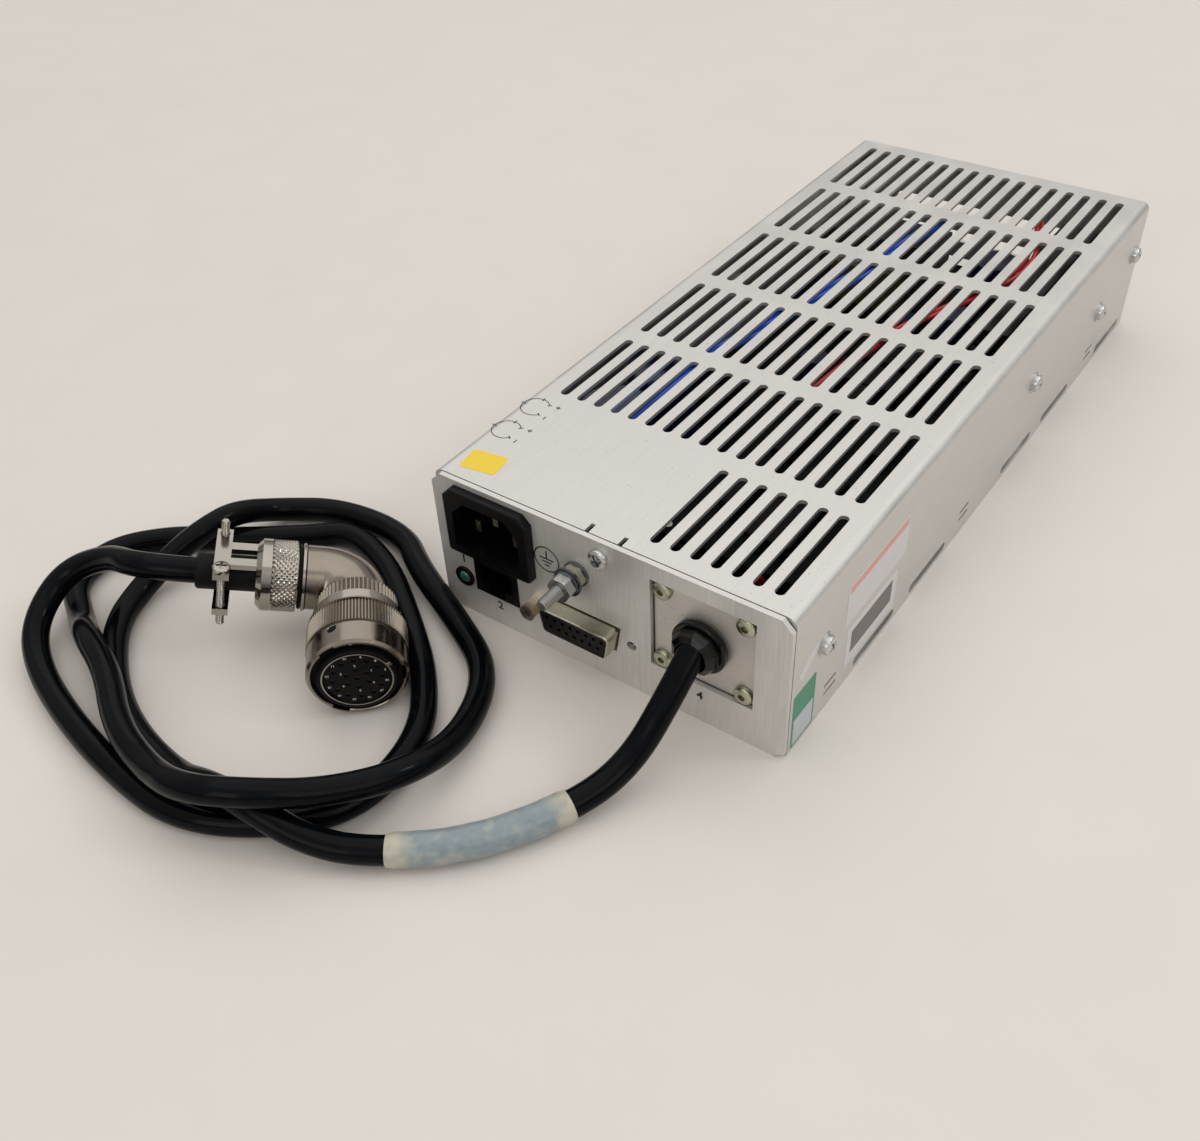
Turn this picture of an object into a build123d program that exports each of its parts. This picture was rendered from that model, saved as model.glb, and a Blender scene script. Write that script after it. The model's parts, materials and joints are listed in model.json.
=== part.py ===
from build123d import *
import os
from math import cos, radians, sin, tan

# Bench controller of a turbomolecular pump, in millimetres: a folded base pan with its front and
# rear walls, a slotted cover, the fittings of the connector panel, the power supply inside, and
# the pump lead with a right-angle circular plug.  The origin is the centre of the underside,
# +Y points from the connector panel to the rear, +Z up.

# ---- case -----------------------------------------------------------------------------------
CASE_W = 120.0          # across the connector panel
CASE_L = 275.0          # panel to rear
CASE_H = 51.0           # underside to top
PAN_T = 1.6             # base pan sheet
COVER_T = 1.2           # cover sheet
COVER_BEND = 3.0        # outer bend of the cover
SEAM = 0.4              # gap between the panel and the cover
SHEET_FIT = 0.2         # between two sheets that slide over each other
ROUND_FIT = 0.05        # between a round piece and its hole
PANEL_CHAMFER = 3.4     # upper corners of the panel
PANEL_NOTCH_W, PANEL_NOTCH_H = 3.4, 2.2   # relief at the lower corners

# ---- cover slots ----------------------------------------------------------------------------
SLOT_W = 3.0
SLOT_L = 37.8
SLOT_PITCH = 6.36
SLOT_COLUMNS = 17
SLOT_ROWS = 5           # full rows, counted from the rear
SLOT_ROW_PITCH = 44.65
SLOT_REAR_MARGIN = 6.2  # rear edge to the first row
SLOT_FRONT_COLUMNS = 7  # the front row has only the right-hand columns
SIDE_SLOT_L, SIDE_SLOT_H, SIDE_SLOT_Z = 26.5, 3.1, 3.25
SIDE_SLOT_YS = (54.0, 91.5, 164.0, 200.5, 256.0)       # centres, from the panel
LANCE_YS = (25.7, 117.9, 232.9)                        # pairs of short slits, from the panel
LANCE_Z, LANCE_L, LANCE_H, LANCE_GAP = 6.4, 7.0, 1.0, 3.0
REAR_FLANGE_DROP = 13.0
REAR_FLANGE_INSET = 2.8
TAB_X, TAB_W, TAB_DROP = 0.4, 9.6, 12.0
TAB_SLOT_W, TAB_SLOT_L = 1.4, 3.6

# ---- screws ---------------------------------------------------------------------------------
M3_R = 1.45
M3_HOLE_R = 1.6
M3_HEAD_R, M3_HEAD_H = 2.9, 2.0
WASHER_R, WASHER_T = 3.6, 0.6
SIDE_SCREWS = ((19.6, 28.8), (168.0, 29.8), (234.4, 24.4), (268.2, 32.6))   # from panel, height
EAR_W = 10.4
EAR_TOP = 6.0           # ear above its screw
TAB_SCREW_DROP = 5.6    # below the top

# ---- connector panel, x from the centre, z from the underside ----------------------------------
INLET_X, INLET_Z = -38.5, 37.6
INLET_W, INLET_H, INLET_PROUD = 31.0, 23.4, 3.0
INLET_BODY_W, INLET_BODY_H, INLET_DEPTH = 27.0, 19.6, 18.0
INLET_CAVITY_W, INLET_CAVITY_H, INLET_CAVITY_DEPTH = 24.2, 16.6, 19.0
INLET_CAVITY_CHAMFER = 4.6
INLET_CHAMFER, INLET_FILLET, INLET_RIM = 2.8, 1.4, 0.8     # upper corners, lower corners, front edge
BLADE_W, BLADE_T, BLADE_RECESS = 4.0, 2.0, 5.0
BLADE_PITCH, BLADE_DROP, EARTH_RISE = 14.0, 2.6, 2.2
BLADE_TAIL = 9.0        # solder tag behind the housing
GAUGE_X, GAUGE_Z = -38.9, 17.9
GAUGE_W, GAUGE_H, GAUGE_DEPTH = 16.4, 13.4, 15.0
GAUGE_PORT_W, GAUGE_PORT_H, GAUGE_PORT_DEPTH = 11.8, 7.2, 12.5
GAUGE_LATCH_W, GAUGE_LATCH_H = 6.0, 3.2
GAUGE_CONTACTS = 8
GAUGE_CONTACT_PITCH = 1.27
LED_X, LED_Z, LED_R, LED_DOME = -51.5, 14.2, 2.5, 1.6
DSUB_X, DSUB_Z = -6.5, 17.0
DSUB_PITCH = 33.32      # jackscrew spacing
DSUB_SHELL_W, DSUB_SHELL_H, DSUB_SHELL_T, DSUB_PROUD = 25.2, 8.8, 0.5, 5.4
DSUB_SLOPE = 10.0       # degrees, the sides of the D
DSUB_FLANGE_W, DSUB_FLANGE_H, DSUB_FLANGE_T = 39.2, 12.5, 0.8
DSUB_POLE_PITCH, DSUB_ROW_PITCH, DSUB_HOLE_R = 2.76, 2.84, 0.6
DSUB_CORNER_R, DSUB_RIM_R, DSUB_REAR = 1.6, 0.4, 8.0     # shell corners, shell rim, insulator behind
JACKPOST_AF, JACKPOST_L = 5.0, 5.6
JACKPOST_BORE_R, JACKPOST_TAIL_R, JACKPOST_TAIL_L = 1.25, 1.4, 6.0
STUD_X, STUD_Z, STUD_R, STUD_L = -7.7, 36.0, 1.95, 16.5
STUD_PITCH_R = 1.77     # where the nuts grip, the thread is drawn at its pitch diameter
NUT_AF, NUT_T = 7.0, 3.2
NUT_CORNER_R = 3.8      # nut corners are turned to this radius
STUD_CHAMFER, STUD_HEAD_T = 0.5, 2.8
TOOTH_WASHER_R, TOOTH_WASHER_T = 4.1, 0.8
FLAT_WASHER_R, FLAT_WASHER_T = 4.6, 0.8

# ---- cable plate and gland -----------------------------------------------------------------
PLATE_X, PLATE_Z, PLATE_W, PLATE_H, PLATE_GAP = 33.25, 29.8, 32.9, 31.6, 0.5
PLATE_SCREW_PX, PLATE_SCREW_PZ, PLATE_SCREW_DOME = 26.0, 25.4, 1.2
GLAND_X, GLAND_Z = 33.3, 30.0
GLAND_HEAD_R, GLAND_HEAD_L, GLAND_CHAMFER = 7.6, 7.6, 1.2
GLAND_FLANGE_R, GLAND_FLANGE_T = 8.6, 2.0
GLAND_NECK_R, GLAND_NECK_L = 6.2, 8.0
GLAND_NUT_AF, GLAND_NUT_T = 16.0, 3.0
BRACKET_W, BRACKET_H, BRACKET_FOOT = 44.0, 44.0, 16.0

# ---- pump lead ------------------------------------------------------------------------------
CABLE_R = 4.0
THROAT_R = 4.3          # gland throat round the lead
EXIT_IN, EXIT_UP = 2.6, 2.5      # start of the lead: in front of the panel face, above the gland
SLEEVE_R, SLEEVE_RUN = 4.9, (54.0, 106.0)   # marking sleeve, distances along the lead

# Route of the lead from the panel's lower left corner, as it lies on the bench.
LEAD_POINTS = (
    (93, -14, 24), (90, -30, 9), (84, -48, 5), (69, -73, 5), (47, -90, 5), (33, -96, 8),
    (20, -99, 13), (3, -100, 10.5), (-14, -99, 4.1), (-37, -95, 4.1), (-58, -85, 4.1),
    (-76, -70, 4.1), (-84, -54, 4.1), (-83, -40, 9.5), (-80, -28, 13.3), (-78, -14, 11.5),
    (-75, 2, 4.1), (-57, 11, 4.1), (-34, 12, 4.1), (-14, 0, 4.1), (11, -12, 4.1), (33, -22, 4.1),
    (45, -46, 5.5), (45, -69, 13.5), (33, -86, 16.5), (21, -100, 21), (4, -108, 19.5),
    (-14, -106, 14), (-34, -100, 13), (-54, -89, 13), (-72, -82, 12), (-88, -75, 4.1),
    (-105, -68, 4.1), (-114, -53, 4.1), (-107, -36, 4.1), (-89, -26, 4.1), (-66, -14, 4.1),
    (-47, 3, 4.1), (-26, -2, 4.1), (-2, -18, 4.1), (19, -34, 4.1), (34, -52, 4.1), (37, -77, 4.1),
    (22, -96, 4.1), (-1, -109, 4.1), (-28, -108, 4.1), (-56, -103, 4.1), (-80, -96, 4.1),
    (-95, -85, 8), (-98, -69, 15.5), (-84, -60, 22.5), (-64, -62, 29),
)
RADIUS_SHARE = 0.45     # of the shorter run

# ---- plug, distances along its two axes from the elbow ---------------------------------------
ELBOW_AT = (-17.9, -20.6)        # from the panel's lower left corner
PLUG_HEADING = -46.0             # degrees from +X, the way the contacts face
ARM_PITCH = 14.6                 # the cable arm rises from the bench
RING_R, RING_START, RING_END, RING_WALL = 14.6, 23.0, 45.5, 1.4
RING_LIP_L = 2.2
RING_REST = 0.1                  # the ring's underside above the bench
RUN_FIT = 0.08                   # between the ring and the shell
RING_NOTCHES, RING_NOTCH_W, RING_NOTCH_D, RING_NOTCH_L = 3, 4.0, 0.8, 4.0
SHELL_SHOULDER_R, SHELL_SHOULDER = 13.3, (17.8, 22.8)
SHELL_BARREL_R, SHELL_END = 11.0, 43.0
SHELL_COLLAR_END = 30.0
INSERT_R, INSERT_START, INSERT_END = 9.7, 24.0, 42.2
CONTACT_R, CONTACT_RECESS = 0.75, 0.4
CONTACT_RINGS = ((1, 0.0), (6, 3.4), (12, 7.1))        # how many on each circle
REAR_RING_R, REAR_RING = 12.1, (11.8, 17.6)
ELBOW_R, ELBOW_BEND = 9.8, 10.4
ELBOW_ARM_END = 16.0
SPIGOT_R = 8.6
ARM_NUT_R, ARM_NUT = 10.9, (18.0, 25.3)
BELL_R, BELL = 10.9, (25.4, 29.8)
STRAP_W, STRAP_T, STRAP_SPREAD = 3.2, 1.8, 3.6         # the yoke's two straps
BUSH_R, BUSH = 5.4, (26.0, 47.2)
LEAD_END = 45.2                  # where the lead stops inside the bushing
SADDLE, SADDLE_LEN, SADDLE_T = (37.3, 41.9), 21.0, 2.4
CLAMP_SCREW_OFF, CLAMP_SCREW_R, CLAMP_SCREW_L = 8.4, 1.4, 21.0
CLAMP_HEAD_R, CLAMP_HEAD_H = 2.6, 1.8
RING_EDGE, REAR_EDGE, SHELL_EDGE, BELL_EDGE, BUSH_EDGE = 0.5, 0.6, 1.2, 1.6, 0.6    # chamfers

# ---- inside the case ---------------------------------------------------------------------------
BOARD_Z, BOARD_T, BOARD_MARGIN = 9.0, 1.6, 5.0
STANDOFF_AF = 5.5
POST_YS, POST_INSET = (27.0, 148.0, 262.0), 9.0       # board posts, from the panel
TRIMMER_YS = {"setpoint": 28.0, "timer": 42.3}         # from the panel
TRIMMER_Z, TRIMMER_SIZE, TRIMMER_DEPTH = 36.0, 9.5, 5.0
TRIMMER_HOLE_R = 2.0
TRIMMER_BOARD_L, TRIMMER_BOARD_ABOVE = 28.0, 8.0
WIRE_R = 0.9
ROTOR_R, ROTOR_L, ROTOR_SLOT_W, ROTOR_SLOT_D = 1.6, 2.6, 0.6, 0.8

front_y = -CASE_L / 2
rear_y = CASE_L / 2
inner_w = CASE_W - 2 * COVER_T - 2 * SHEET_FIT
tab_screw_z = CASE_H - TAB_SCREW_DROP
cover_front = front_y + PAN_T + SEAM
panel = Plane.XZ.offset(-front_y)                      # outer face, normal to the front
panel_back = Plane.XZ.offset(-front_y - PAN_T)
corner = Vector(-CASE_W / 2, front_y, 0)

heading = Vector(cos(radians(PLUG_HEADING)), sin(radians(PLUG_HEADING)), 0)
across = Vector(heading.Y, -heading.X, 0)
arm = across * cos(radians(ARM_PITCH)) + Vector(0, 0, 1) * sin(radians(ARM_PITCH))
arm_up = heading.cross(arm).normalized()
if arm_up.Z < 0:
    arm_up = -arm_up
elbow = Vector(corner.X + ELBOW_AT[0], corner.Y + ELBOW_AT[1], RING_R + RING_REST)

made = []


def save(builder, label):
    """Label a finished piece and write its STEP file."""
    builder.part.label = label
    export_step(builder.part, f"parts/{label}.step")
    made.append(label)


def on_mating_axis(distance):
    """Plane across the plug's mating axis, its x pointing up."""
    return Plane(origin=elbow + heading * distance, x_dir=(0, 0, 1), z_dir=heading)


def on_arm(distance):
    """Plane across the plug's cable arm, its x pointing up."""
    return Plane(origin=elbow + arm * distance, x_dir=arm_up, z_dir=arm)


def disc(plane, radius, length, bore=0.0):
    """Round bar or ring from a plane, along its normal."""
    with BuildSketch(plane) as section:
        Circle(radius)
        if bore:
            Circle(bore, mode=Mode.SUBTRACT)
    extrude(section.sketch, amount=length)


def rims(builder, radius):
    """Circular edges of one radius."""
    return builder.edges().filter_by(GeomType.CIRCLE).filter_by(lambda e: abs(e.radius - radius) < 0.01)


os.makedirs("parts", exist_ok=True)

# ---- base pan ------------------------------------------------------------------------------
rear_wall_y = rear_y - COVER_T - SHEET_FIT
with BuildPart() as chassis:
    with BuildSketch(Plane.YZ.offset(-inner_w / 2)):
        with BuildLine():
            FilletPolyline((front_y + PAN_T / 2, 10), (front_y + PAN_T / 2, PAN_T / 2),
                           (rear_wall_y - PAN_T / 2, PAN_T / 2),
                           (rear_wall_y - PAN_T / 2, CASE_H - COVER_T - SHEET_FIT), radius=PAN_T)
        trace(line_width=PAN_T)
    extrude(amount=inner_w)
    fillet(chassis.edges().filter_by(Axis.Y).group_by(Axis.Z)[-1], COVER_BEND)
    with BuildSketch(panel):
        with BuildLine():
            w, h, c = CASE_W / 2, CASE_H, PANEL_CHAMFER
            half = ((0, 0), (w - PANEL_NOTCH_W, 0), (w, PANEL_NOTCH_H), (w, h - c), (w - c, h), (0, h))
            Polyline(*half)
            Polyline(*[(-x, z) for x, z in half])
        make_face()
    extrude(amount=-PAN_T)
    for side in (1, -1):
        with BuildSketch(Plane.YZ.offset(side * (inner_w / 2 - (PAN_T if side > 0 else 0)))):
            for y, z in SIDE_SCREWS:
                with Locations((front_y + y, (z + EAR_TOP) / 2)):
                    Rectangle(EAR_W, z + EAR_TOP)
        extrude(amount=PAN_T)
    # screw holes of both side rows, right through the case
    with BuildSketch(Plane.YZ.offset(-CASE_W / 2)):
        with Locations(*[(front_y + y, z) for y, z in SIDE_SCREWS]):
            Circle(M3_R + ROUND_FIT)
    extrude(amount=CASE_W, mode=Mode.SUBTRACT)
    # openings of the connector panel
    with BuildSketch(panel):
        with Locations((INLET_X, INLET_Z)):
            Rectangle(INLET_BODY_W + SHEET_FIT, INLET_BODY_H + SHEET_FIT)
        with Locations((GAUGE_X, GAUGE_Z)):
            Rectangle(GAUGE_W + SHEET_FIT, GAUGE_H + SHEET_FIT)
        with Locations((LED_X, LED_Z)):
            Circle(LED_R + 0.7)
        with Locations((DSUB_X, DSUB_Z)):
            Trapezoid(DSUB_SHELL_W + 1, DSUB_SHELL_H + 1, 90 - DSUB_SLOPE, rotation=180)
            with GridLocations(DSUB_PITCH, 1, 2, 1):
                Circle(M3_HOLE_R)
        with Locations((STUD_X, STUD_Z)):
            Circle(STUD_R + ROUND_FIT)
        with Locations((TAB_X, tab_screw_z)):
            Circle(M3_HOLE_R)
        with Locations((PLATE_X, PLATE_Z)):
            Rectangle(PLATE_W, PLATE_H)
    extrude(amount=-PAN_T, mode=Mode.SUBTRACT)
    # vents of the rear wall
    with BuildSketch(Plane.XZ.offset(-rear_wall_y)):
        with Locations((0, 20.5)):
            with GridLocations(42.0, 11.5, 2, 3):
                SlotOverall(38.0, 4.5)
    extrude(amount=PAN_T, mode=Mode.SUBTRACT)
save(chassis, "chassis")

# ---- cover ---------------------------------------------------------------------------------
with BuildPart() as cover:
    with BuildSketch(Plane.XZ.offset(-rear_y)):
        with BuildLine():
            w, h = (CASE_W - COVER_T) / 2, CASE_H - COVER_T / 2
            FilletPolyline((-w, 0), (-w, h), (w, h), (w, 0), radius=COVER_BEND - COVER_T / 2)
        trace(line_width=COVER_T)
    extrude(amount=rear_y - cover_front)
    # rear flange and front tab
    with BuildSketch(Plane.XZ.offset(-rear_y)):
        with Locations((0, CASE_H)):
            Rectangle(CASE_W - 2 * REAR_FLANGE_INSET, REAR_FLANGE_DROP, align=(Align.CENTER, Align.MAX))
    extrude(amount=COVER_T)
    with BuildSketch(Plane.XZ.offset(-cover_front)):
        with Locations((TAB_X, CASE_H)):
            Rectangle(TAB_W, TAB_DROP, align=(Align.CENTER, Align.MAX))
        with Locations((TAB_X, tab_screw_z)):
            Circle(M3_R + ROUND_FIT, mode=Mode.SUBTRACT)
    extrude(amount=-COVER_T)
    # relief slots beside the tab, and the vents of the top
    with BuildSketch(Plane.XY.offset(CASE_H)):
        for x in (TAB_X - (TAB_W + TAB_SLOT_W) / 2, TAB_X + (TAB_W + TAB_SLOT_W) / 2):
            with Locations((x, cover_front)):
                Rectangle(TAB_SLOT_W, TAB_SLOT_L, align=(Align.CENTER, Align.MIN))
        first_row = rear_y - SLOT_REAR_MARGIN - SLOT_L / 2
        with Locations((0, first_row - SLOT_ROW_PITCH * (SLOT_ROWS - 1) / 2)):
            with GridLocations(SLOT_PITCH, SLOT_ROW_PITCH, SLOT_COLUMNS, SLOT_ROWS):
                SlotOverall(SLOT_L, SLOT_W, rotation=90)
        last_x = SLOT_PITCH * (SLOT_COLUMNS - SLOT_FRONT_COLUMNS) / 2
        with Locations((last_x, first_row - SLOT_ROW_PITCH * SLOT_ROWS)):
            with GridLocations(SLOT_PITCH, 1, SLOT_FRONT_COLUMNS, 1):
                SlotOverall(SLOT_L, SLOT_W, rotation=90)
    extrude(amount=-TAB_DROP / 2, mode=Mode.SUBTRACT)
    # long slots, lanced slits and screw holes of both sides
    with BuildSketch(Plane.YZ.offset(-CASE_W / 2)):
        with Locations(*[(front_y + y, SIDE_SLOT_Z) for y in SIDE_SLOT_YS]):
            SlotOverall(SIDE_SLOT_L, SIDE_SLOT_H)
        with Locations(*[(front_y + y, LANCE_Z + LANCE_GAP / 2) for y in LANCE_YS]):
            with GridLocations(1, LANCE_GAP, 1, 2):
                Rectangle(LANCE_L, LANCE_H)
        with Locations(*[(front_y + y, z) for y, z in SIDE_SCREWS]):
            Circle(M3_HOLE_R)
    extrude(amount=CASE_W, mode=Mode.SUBTRACT)
    # the two trimmers are reached through the left side
    with BuildSketch(Plane.YZ.offset(-CASE_W / 2)):
        with Locations(*[(front_y + y, TRIMMER_Z) for y in TRIMMER_YS.values()]):
            Circle(TRIMMER_HOLE_R)
    extrude(amount=COVER_T, mode=Mode.SUBTRACT)
save(cover, "cover")

# ---- cover screws --------------------------------------------------------------------------
with BuildPart() as cover_screws:
    for side in (1, -1):
        with BuildSketch(Plane.YZ.offset(side * (CASE_W / 2 + WASHER_T))):
            with Locations(*[(front_y + y, z) for y, z in SIDE_SCREWS]):
                Circle(M3_HEAD_R)
        extrude(amount=side * M3_HEAD_H)
        with BuildSketch(Plane.YZ.offset(side * (CASE_W / 2 + WASHER_T))):
            with Locations(*[(front_y + y, z) for y, z in SIDE_SCREWS]):
                Circle(M3_R)
        extrude(amount=-side * 6.0)
    domes = cover_screws.edges().filter_by(GeomType.CIRCLE).group_by(Axis.X)
    fillet(domes[0] + domes[-1], M3_HEAD_H * 0.6)
save(cover_screws, "cover_screws")

with BuildPart() as cover_screw_washers:
    for side in (1, -1):
        with BuildSketch(Plane.YZ.offset(side * CASE_W / 2)):
            with Locations(*[(front_y + y, z) for y, z in SIDE_SCREWS]):
                Circle(WASHER_R)
                Circle(M3_HOLE_R, mode=Mode.SUBTRACT)
        extrude(amount=side * WASHER_T)
save(cover_screw_washers, "cover_screw_washers")

with BuildPart() as tab_screw:
    with BuildSketch(panel):
        with Locations((TAB_X, tab_screw_z)):
            Circle(M3_HEAD_R + 0.2)
    extrude(amount=M3_HEAD_H)
    fillet(tab_screw.edges().filter_by(GeomType.CIRCLE).sort_by(Axis.Y)[0], M3_HEAD_H * 0.6)
    with BuildSketch(panel):
        with Locations((TAB_X, tab_screw_z)):
            Circle(M3_R)
    extrude(amount=-7.0)
save(tab_screw, "tab_screw")

# ---- mains inlet ---------------------------------------------------------------------------
with BuildPart() as inlet_housing:
    with BuildSketch(panel):
        with Locations((INLET_X, INLET_Z)):
            Rectangle(INLET_W, INLET_H)
    extrude(amount=INLET_PROUD)
    chamfer(inlet_housing.edges().filter_by(Axis.Y).group_by(Axis.Z)[-1], INLET_CHAMFER)
    fillet(inlet_housing.edges().filter_by(Axis.Y).group_by(Axis.Z)[0], INLET_FILLET)
    fillet(inlet_housing.faces().sort_by(Axis.Y)[0].edges(), INLET_RIM)
    with BuildSketch(panel):
        with Locations((INLET_X, INLET_Z)):
            Rectangle(INLET_BODY_W, INLET_BODY_H)
    extrude(amount=-INLET_DEPTH)
    with BuildSketch(panel.offset(INLET_PROUD)) as mouth:
        with Locations((INLET_X, INLET_Z)):
            Rectangle(INLET_CAVITY_W, INLET_CAVITY_H)
        chamfer(mouth.vertices().group_by(Axis.Y)[-1], INLET_CAVITY_CHAMFER)
    extrude(amount=-INLET_CAVITY_DEPTH, mode=Mode.SUBTRACT)
    with BuildSketch(panel.offset(-INLET_DEPTH)):
        with Locations((INLET_X, INLET_Z + EARTH_RISE)):
            Rectangle(BLADE_T, BLADE_W)
        with Locations((INLET_X, INLET_Z - BLADE_DROP)):
            with GridLocations(BLADE_PITCH, 1, 2, 1):
                Rectangle(BLADE_T, BLADE_W)
    extrude(amount=INLET_DEPTH, mode=Mode.SUBTRACT)
save(inlet_housing, "inlet_housing")

with BuildPart() as inlet_pins:
    with BuildSketch(panel.offset(INLET_PROUD - BLADE_RECESS)):
        with Locations((INLET_X, INLET_Z + EARTH_RISE)):
            Rectangle(BLADE_T, BLADE_W)
        with Locations((INLET_X, INLET_Z - BLADE_DROP)):
            with GridLocations(BLADE_PITCH, 1, 2, 1):
                Rectangle(BLADE_T, BLADE_W)
    extrude(amount=-(INLET_DEPTH + INLET_PROUD - BLADE_RECESS + BLADE_TAIL))
save(inlet_pins, "inlet_pins")

# ---- gauge socket, lamp ----------------------------------------------------------------------
with BuildPart() as gauge_socket:
    with BuildSketch(panel.offset(0.4)):
        with Locations((GAUGE_X, GAUGE_Z)):
            Rectangle(GAUGE_W, GAUGE_H)
    extrude(amount=-GAUGE_DEPTH)
    with BuildSketch(panel.offset(0.4)):
        with Locations((GAUGE_X, GAUGE_Z + 0.6)):
            Rectangle(GAUGE_PORT_W, GAUGE_PORT_H)
        with Locations((GAUGE_X, GAUGE_Z + 0.6 - GAUGE_PORT_H / 2)):
            Rectangle(GAUGE_LATCH_W, GAUGE_LATCH_H, align=(Align.CENTER, Align.MAX))
    extrude(amount=-GAUGE_PORT_DEPTH, mode=Mode.SUBTRACT)
save(gauge_socket, "gauge_socket")

with BuildPart() as gauge_contacts:
    # springs that lean down from the roof of the port
    contact_top = GAUGE_Z + 0.6 + GAUGE_PORT_H / 2
    y = front_y - 0.4
    for i in range(GAUGE_CONTACTS):
        x = GAUGE_X + (i - (GAUGE_CONTACTS - 1) / 2) * GAUGE_CONTACT_PITCH
        with BuildSketch(Plane.YZ.offset(x - 0.25)):
            with BuildLine():
                Polyline((y + 4, contact_top), (y + 4.5, contact_top), (y + GAUGE_PORT_DEPTH, contact_top - 2.4),
                         (y + GAUGE_PORT_DEPTH, contact_top - 2.9), (y + 4, contact_top), close=True)
            make_face()
        extrude(amount=0.5)
save(gauge_contacts, "gauge_contacts")

with BuildPart() as led_bezel:
    disc(panel.shift_origin((LED_X, front_y, LED_Z)), LED_R + 1.0, 0.8, LED_R - 0.2)
    disc(panel.shift_origin((LED_X, front_y, LED_Z)).offset(-6.0), LED_R + 0.6, 6.0, LED_R)
save(led_bezel, "led_bezel")

with BuildPart() as led_lens:
    disc(panel.shift_origin((LED_X, front_y, LED_Z)).offset(-7.0), LED_R - 0.3, 8.4)
    fillet(led_lens.edges().filter_by(GeomType.CIRCLE).sort_by(Axis.Y)[0], LED_DOME)
    disc(panel.shift_origin((LED_X, front_y, LED_Z)).offset(-8.0), LED_R + 0.3, 1.6)
save(led_lens, "led_lens")

# ---- logic connector ---------------------------------------------------------------------------
dsub_face = panel_back.shift_origin((DSUB_X, front_y + PAN_T, DSUB_Z))
with BuildPart() as dsub_shell:
    with BuildSketch(dsub_face):
        Rectangle(DSUB_FLANGE_W, DSUB_FLANGE_H)
        with GridLocations(DSUB_PITCH, 1, 2, 1):
            Circle(M3_HOLE_R, mode=Mode.SUBTRACT)
    extrude(amount=-DSUB_FLANGE_T)
    with BuildSketch(dsub_face):
        Trapezoid(DSUB_SHELL_W, DSUB_SHELL_H, 90 - DSUB_SLOPE, rotation=180)
    extrude(amount=PAN_T + DSUB_PROUD)
    fillet(dsub_shell.edges().filter_by(Axis.Y).filter_by(lambda e: e.length > DSUB_PROUD), DSUB_CORNER_R)
    fillet(dsub_shell.faces().sort_by(Axis.Y)[0].edges(), DSUB_RIM_R)
    with BuildSketch(dsub_face.offset(-DSUB_FLANGE_T)) as hollow:
        Trapezoid(DSUB_SHELL_W - 2 * DSUB_SHELL_T, DSUB_SHELL_H - 2 * DSUB_SHELL_T, 90 - DSUB_SLOPE, rotation=180)
        fillet(hollow.vertices(), DSUB_CORNER_R - 0.4)
    extrude(amount=DSUB_FLANGE_T + PAN_T + DSUB_PROUD, mode=Mode.SUBTRACT)
save(dsub_shell, "dsub_shell")

dsub_sockets = [(col - 3.5, 0.5) for col in range(8)] + [(col - 3.0, -0.5) for col in range(7)]
dsub_spots = [(u * DSUB_POLE_PITCH, v * DSUB_ROW_PITCH) for u, v in dsub_sockets]
with BuildPart() as dsub_insulator:
    with BuildSketch(dsub_face.offset(-DSUB_REAR)) as moulding:
        Trapezoid(DSUB_SHELL_W - 2 * DSUB_SHELL_T - 0.1, DSUB_SHELL_H - 2 * DSUB_SHELL_T - 0.1,
                  90 - DSUB_SLOPE, rotation=180)
        fillet(moulding.vertices(), DSUB_CORNER_R - DSUB_SHELL_T)
    extrude(amount=DSUB_REAR + PAN_T + DSUB_PROUD - 0.5)
    with BuildSketch(dsub_face.offset(PAN_T + DSUB_PROUD - 0.5)):
        with Locations(*dsub_spots):
            Circle(DSUB_HOLE_R)
    extrude(amount=-6.0, mode=Mode.SUBTRACT)
save(dsub_insulator, "dsub_insulator")

with BuildPart() as dsub_contacts:
    with BuildSketch(dsub_face.offset(-DSUB_REAR)):
        with Locations(*dsub_spots):
            Rectangle(0.8, 0.8)
    extrude(amount=-5.0)
save(dsub_contacts, "dsub_contacts")

with BuildPart() as dsub_jackpost:
    with BuildSketch(panel):
        with Locations((DSUB_X - DSUB_PITCH / 2, DSUB_Z)):
            RegularPolygon(JACKPOST_AF / 2, 6, major_radius=False)
            Circle(JACKPOST_BORE_R, mode=Mode.SUBTRACT)
    extrude(amount=JACKPOST_L)
    with BuildSketch(panel):
        with Locations((DSUB_X - DSUB_PITCH / 2, DSUB_Z)):
            Circle(JACKPOST_TAIL_R)
    extrude(amount=-JACKPOST_TAIL_L)
save(dsub_jackpost, "dsub_jackpost")

# ---- earth stud --------------------------------------------------------------------------------
stud_face = panel.shift_origin((STUD_X, front_y, STUD_Z))
second = TOOTH_WASHER_T + NUT_T                        # seat of the outer washers
outer_nut_at = second + FLAT_WASHER_T + TOOTH_WASHER_T
stud_grip = outer_nut_at + NUT_T                       # length under nuts and washers
with BuildPart() as earth_stud:
    disc(stud_face.offset(-PAN_T), STUD_PITCH_R, PAN_T + stud_grip)
    disc(stud_face.offset(stud_grip), STUD_R, STUD_L - stud_grip)
    chamfer(rims(earth_stud, STUD_R).sort_by(Axis.Y)[0], STUD_CHAMFER)
    with BuildSketch(stud_face.offset(-PAN_T)):
        RegularPolygon(NUT_AF / 2, 6, major_radius=False)
    extrude(amount=-STUD_HEAD_T)
save(earth_stud, "earth_stud")


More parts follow.
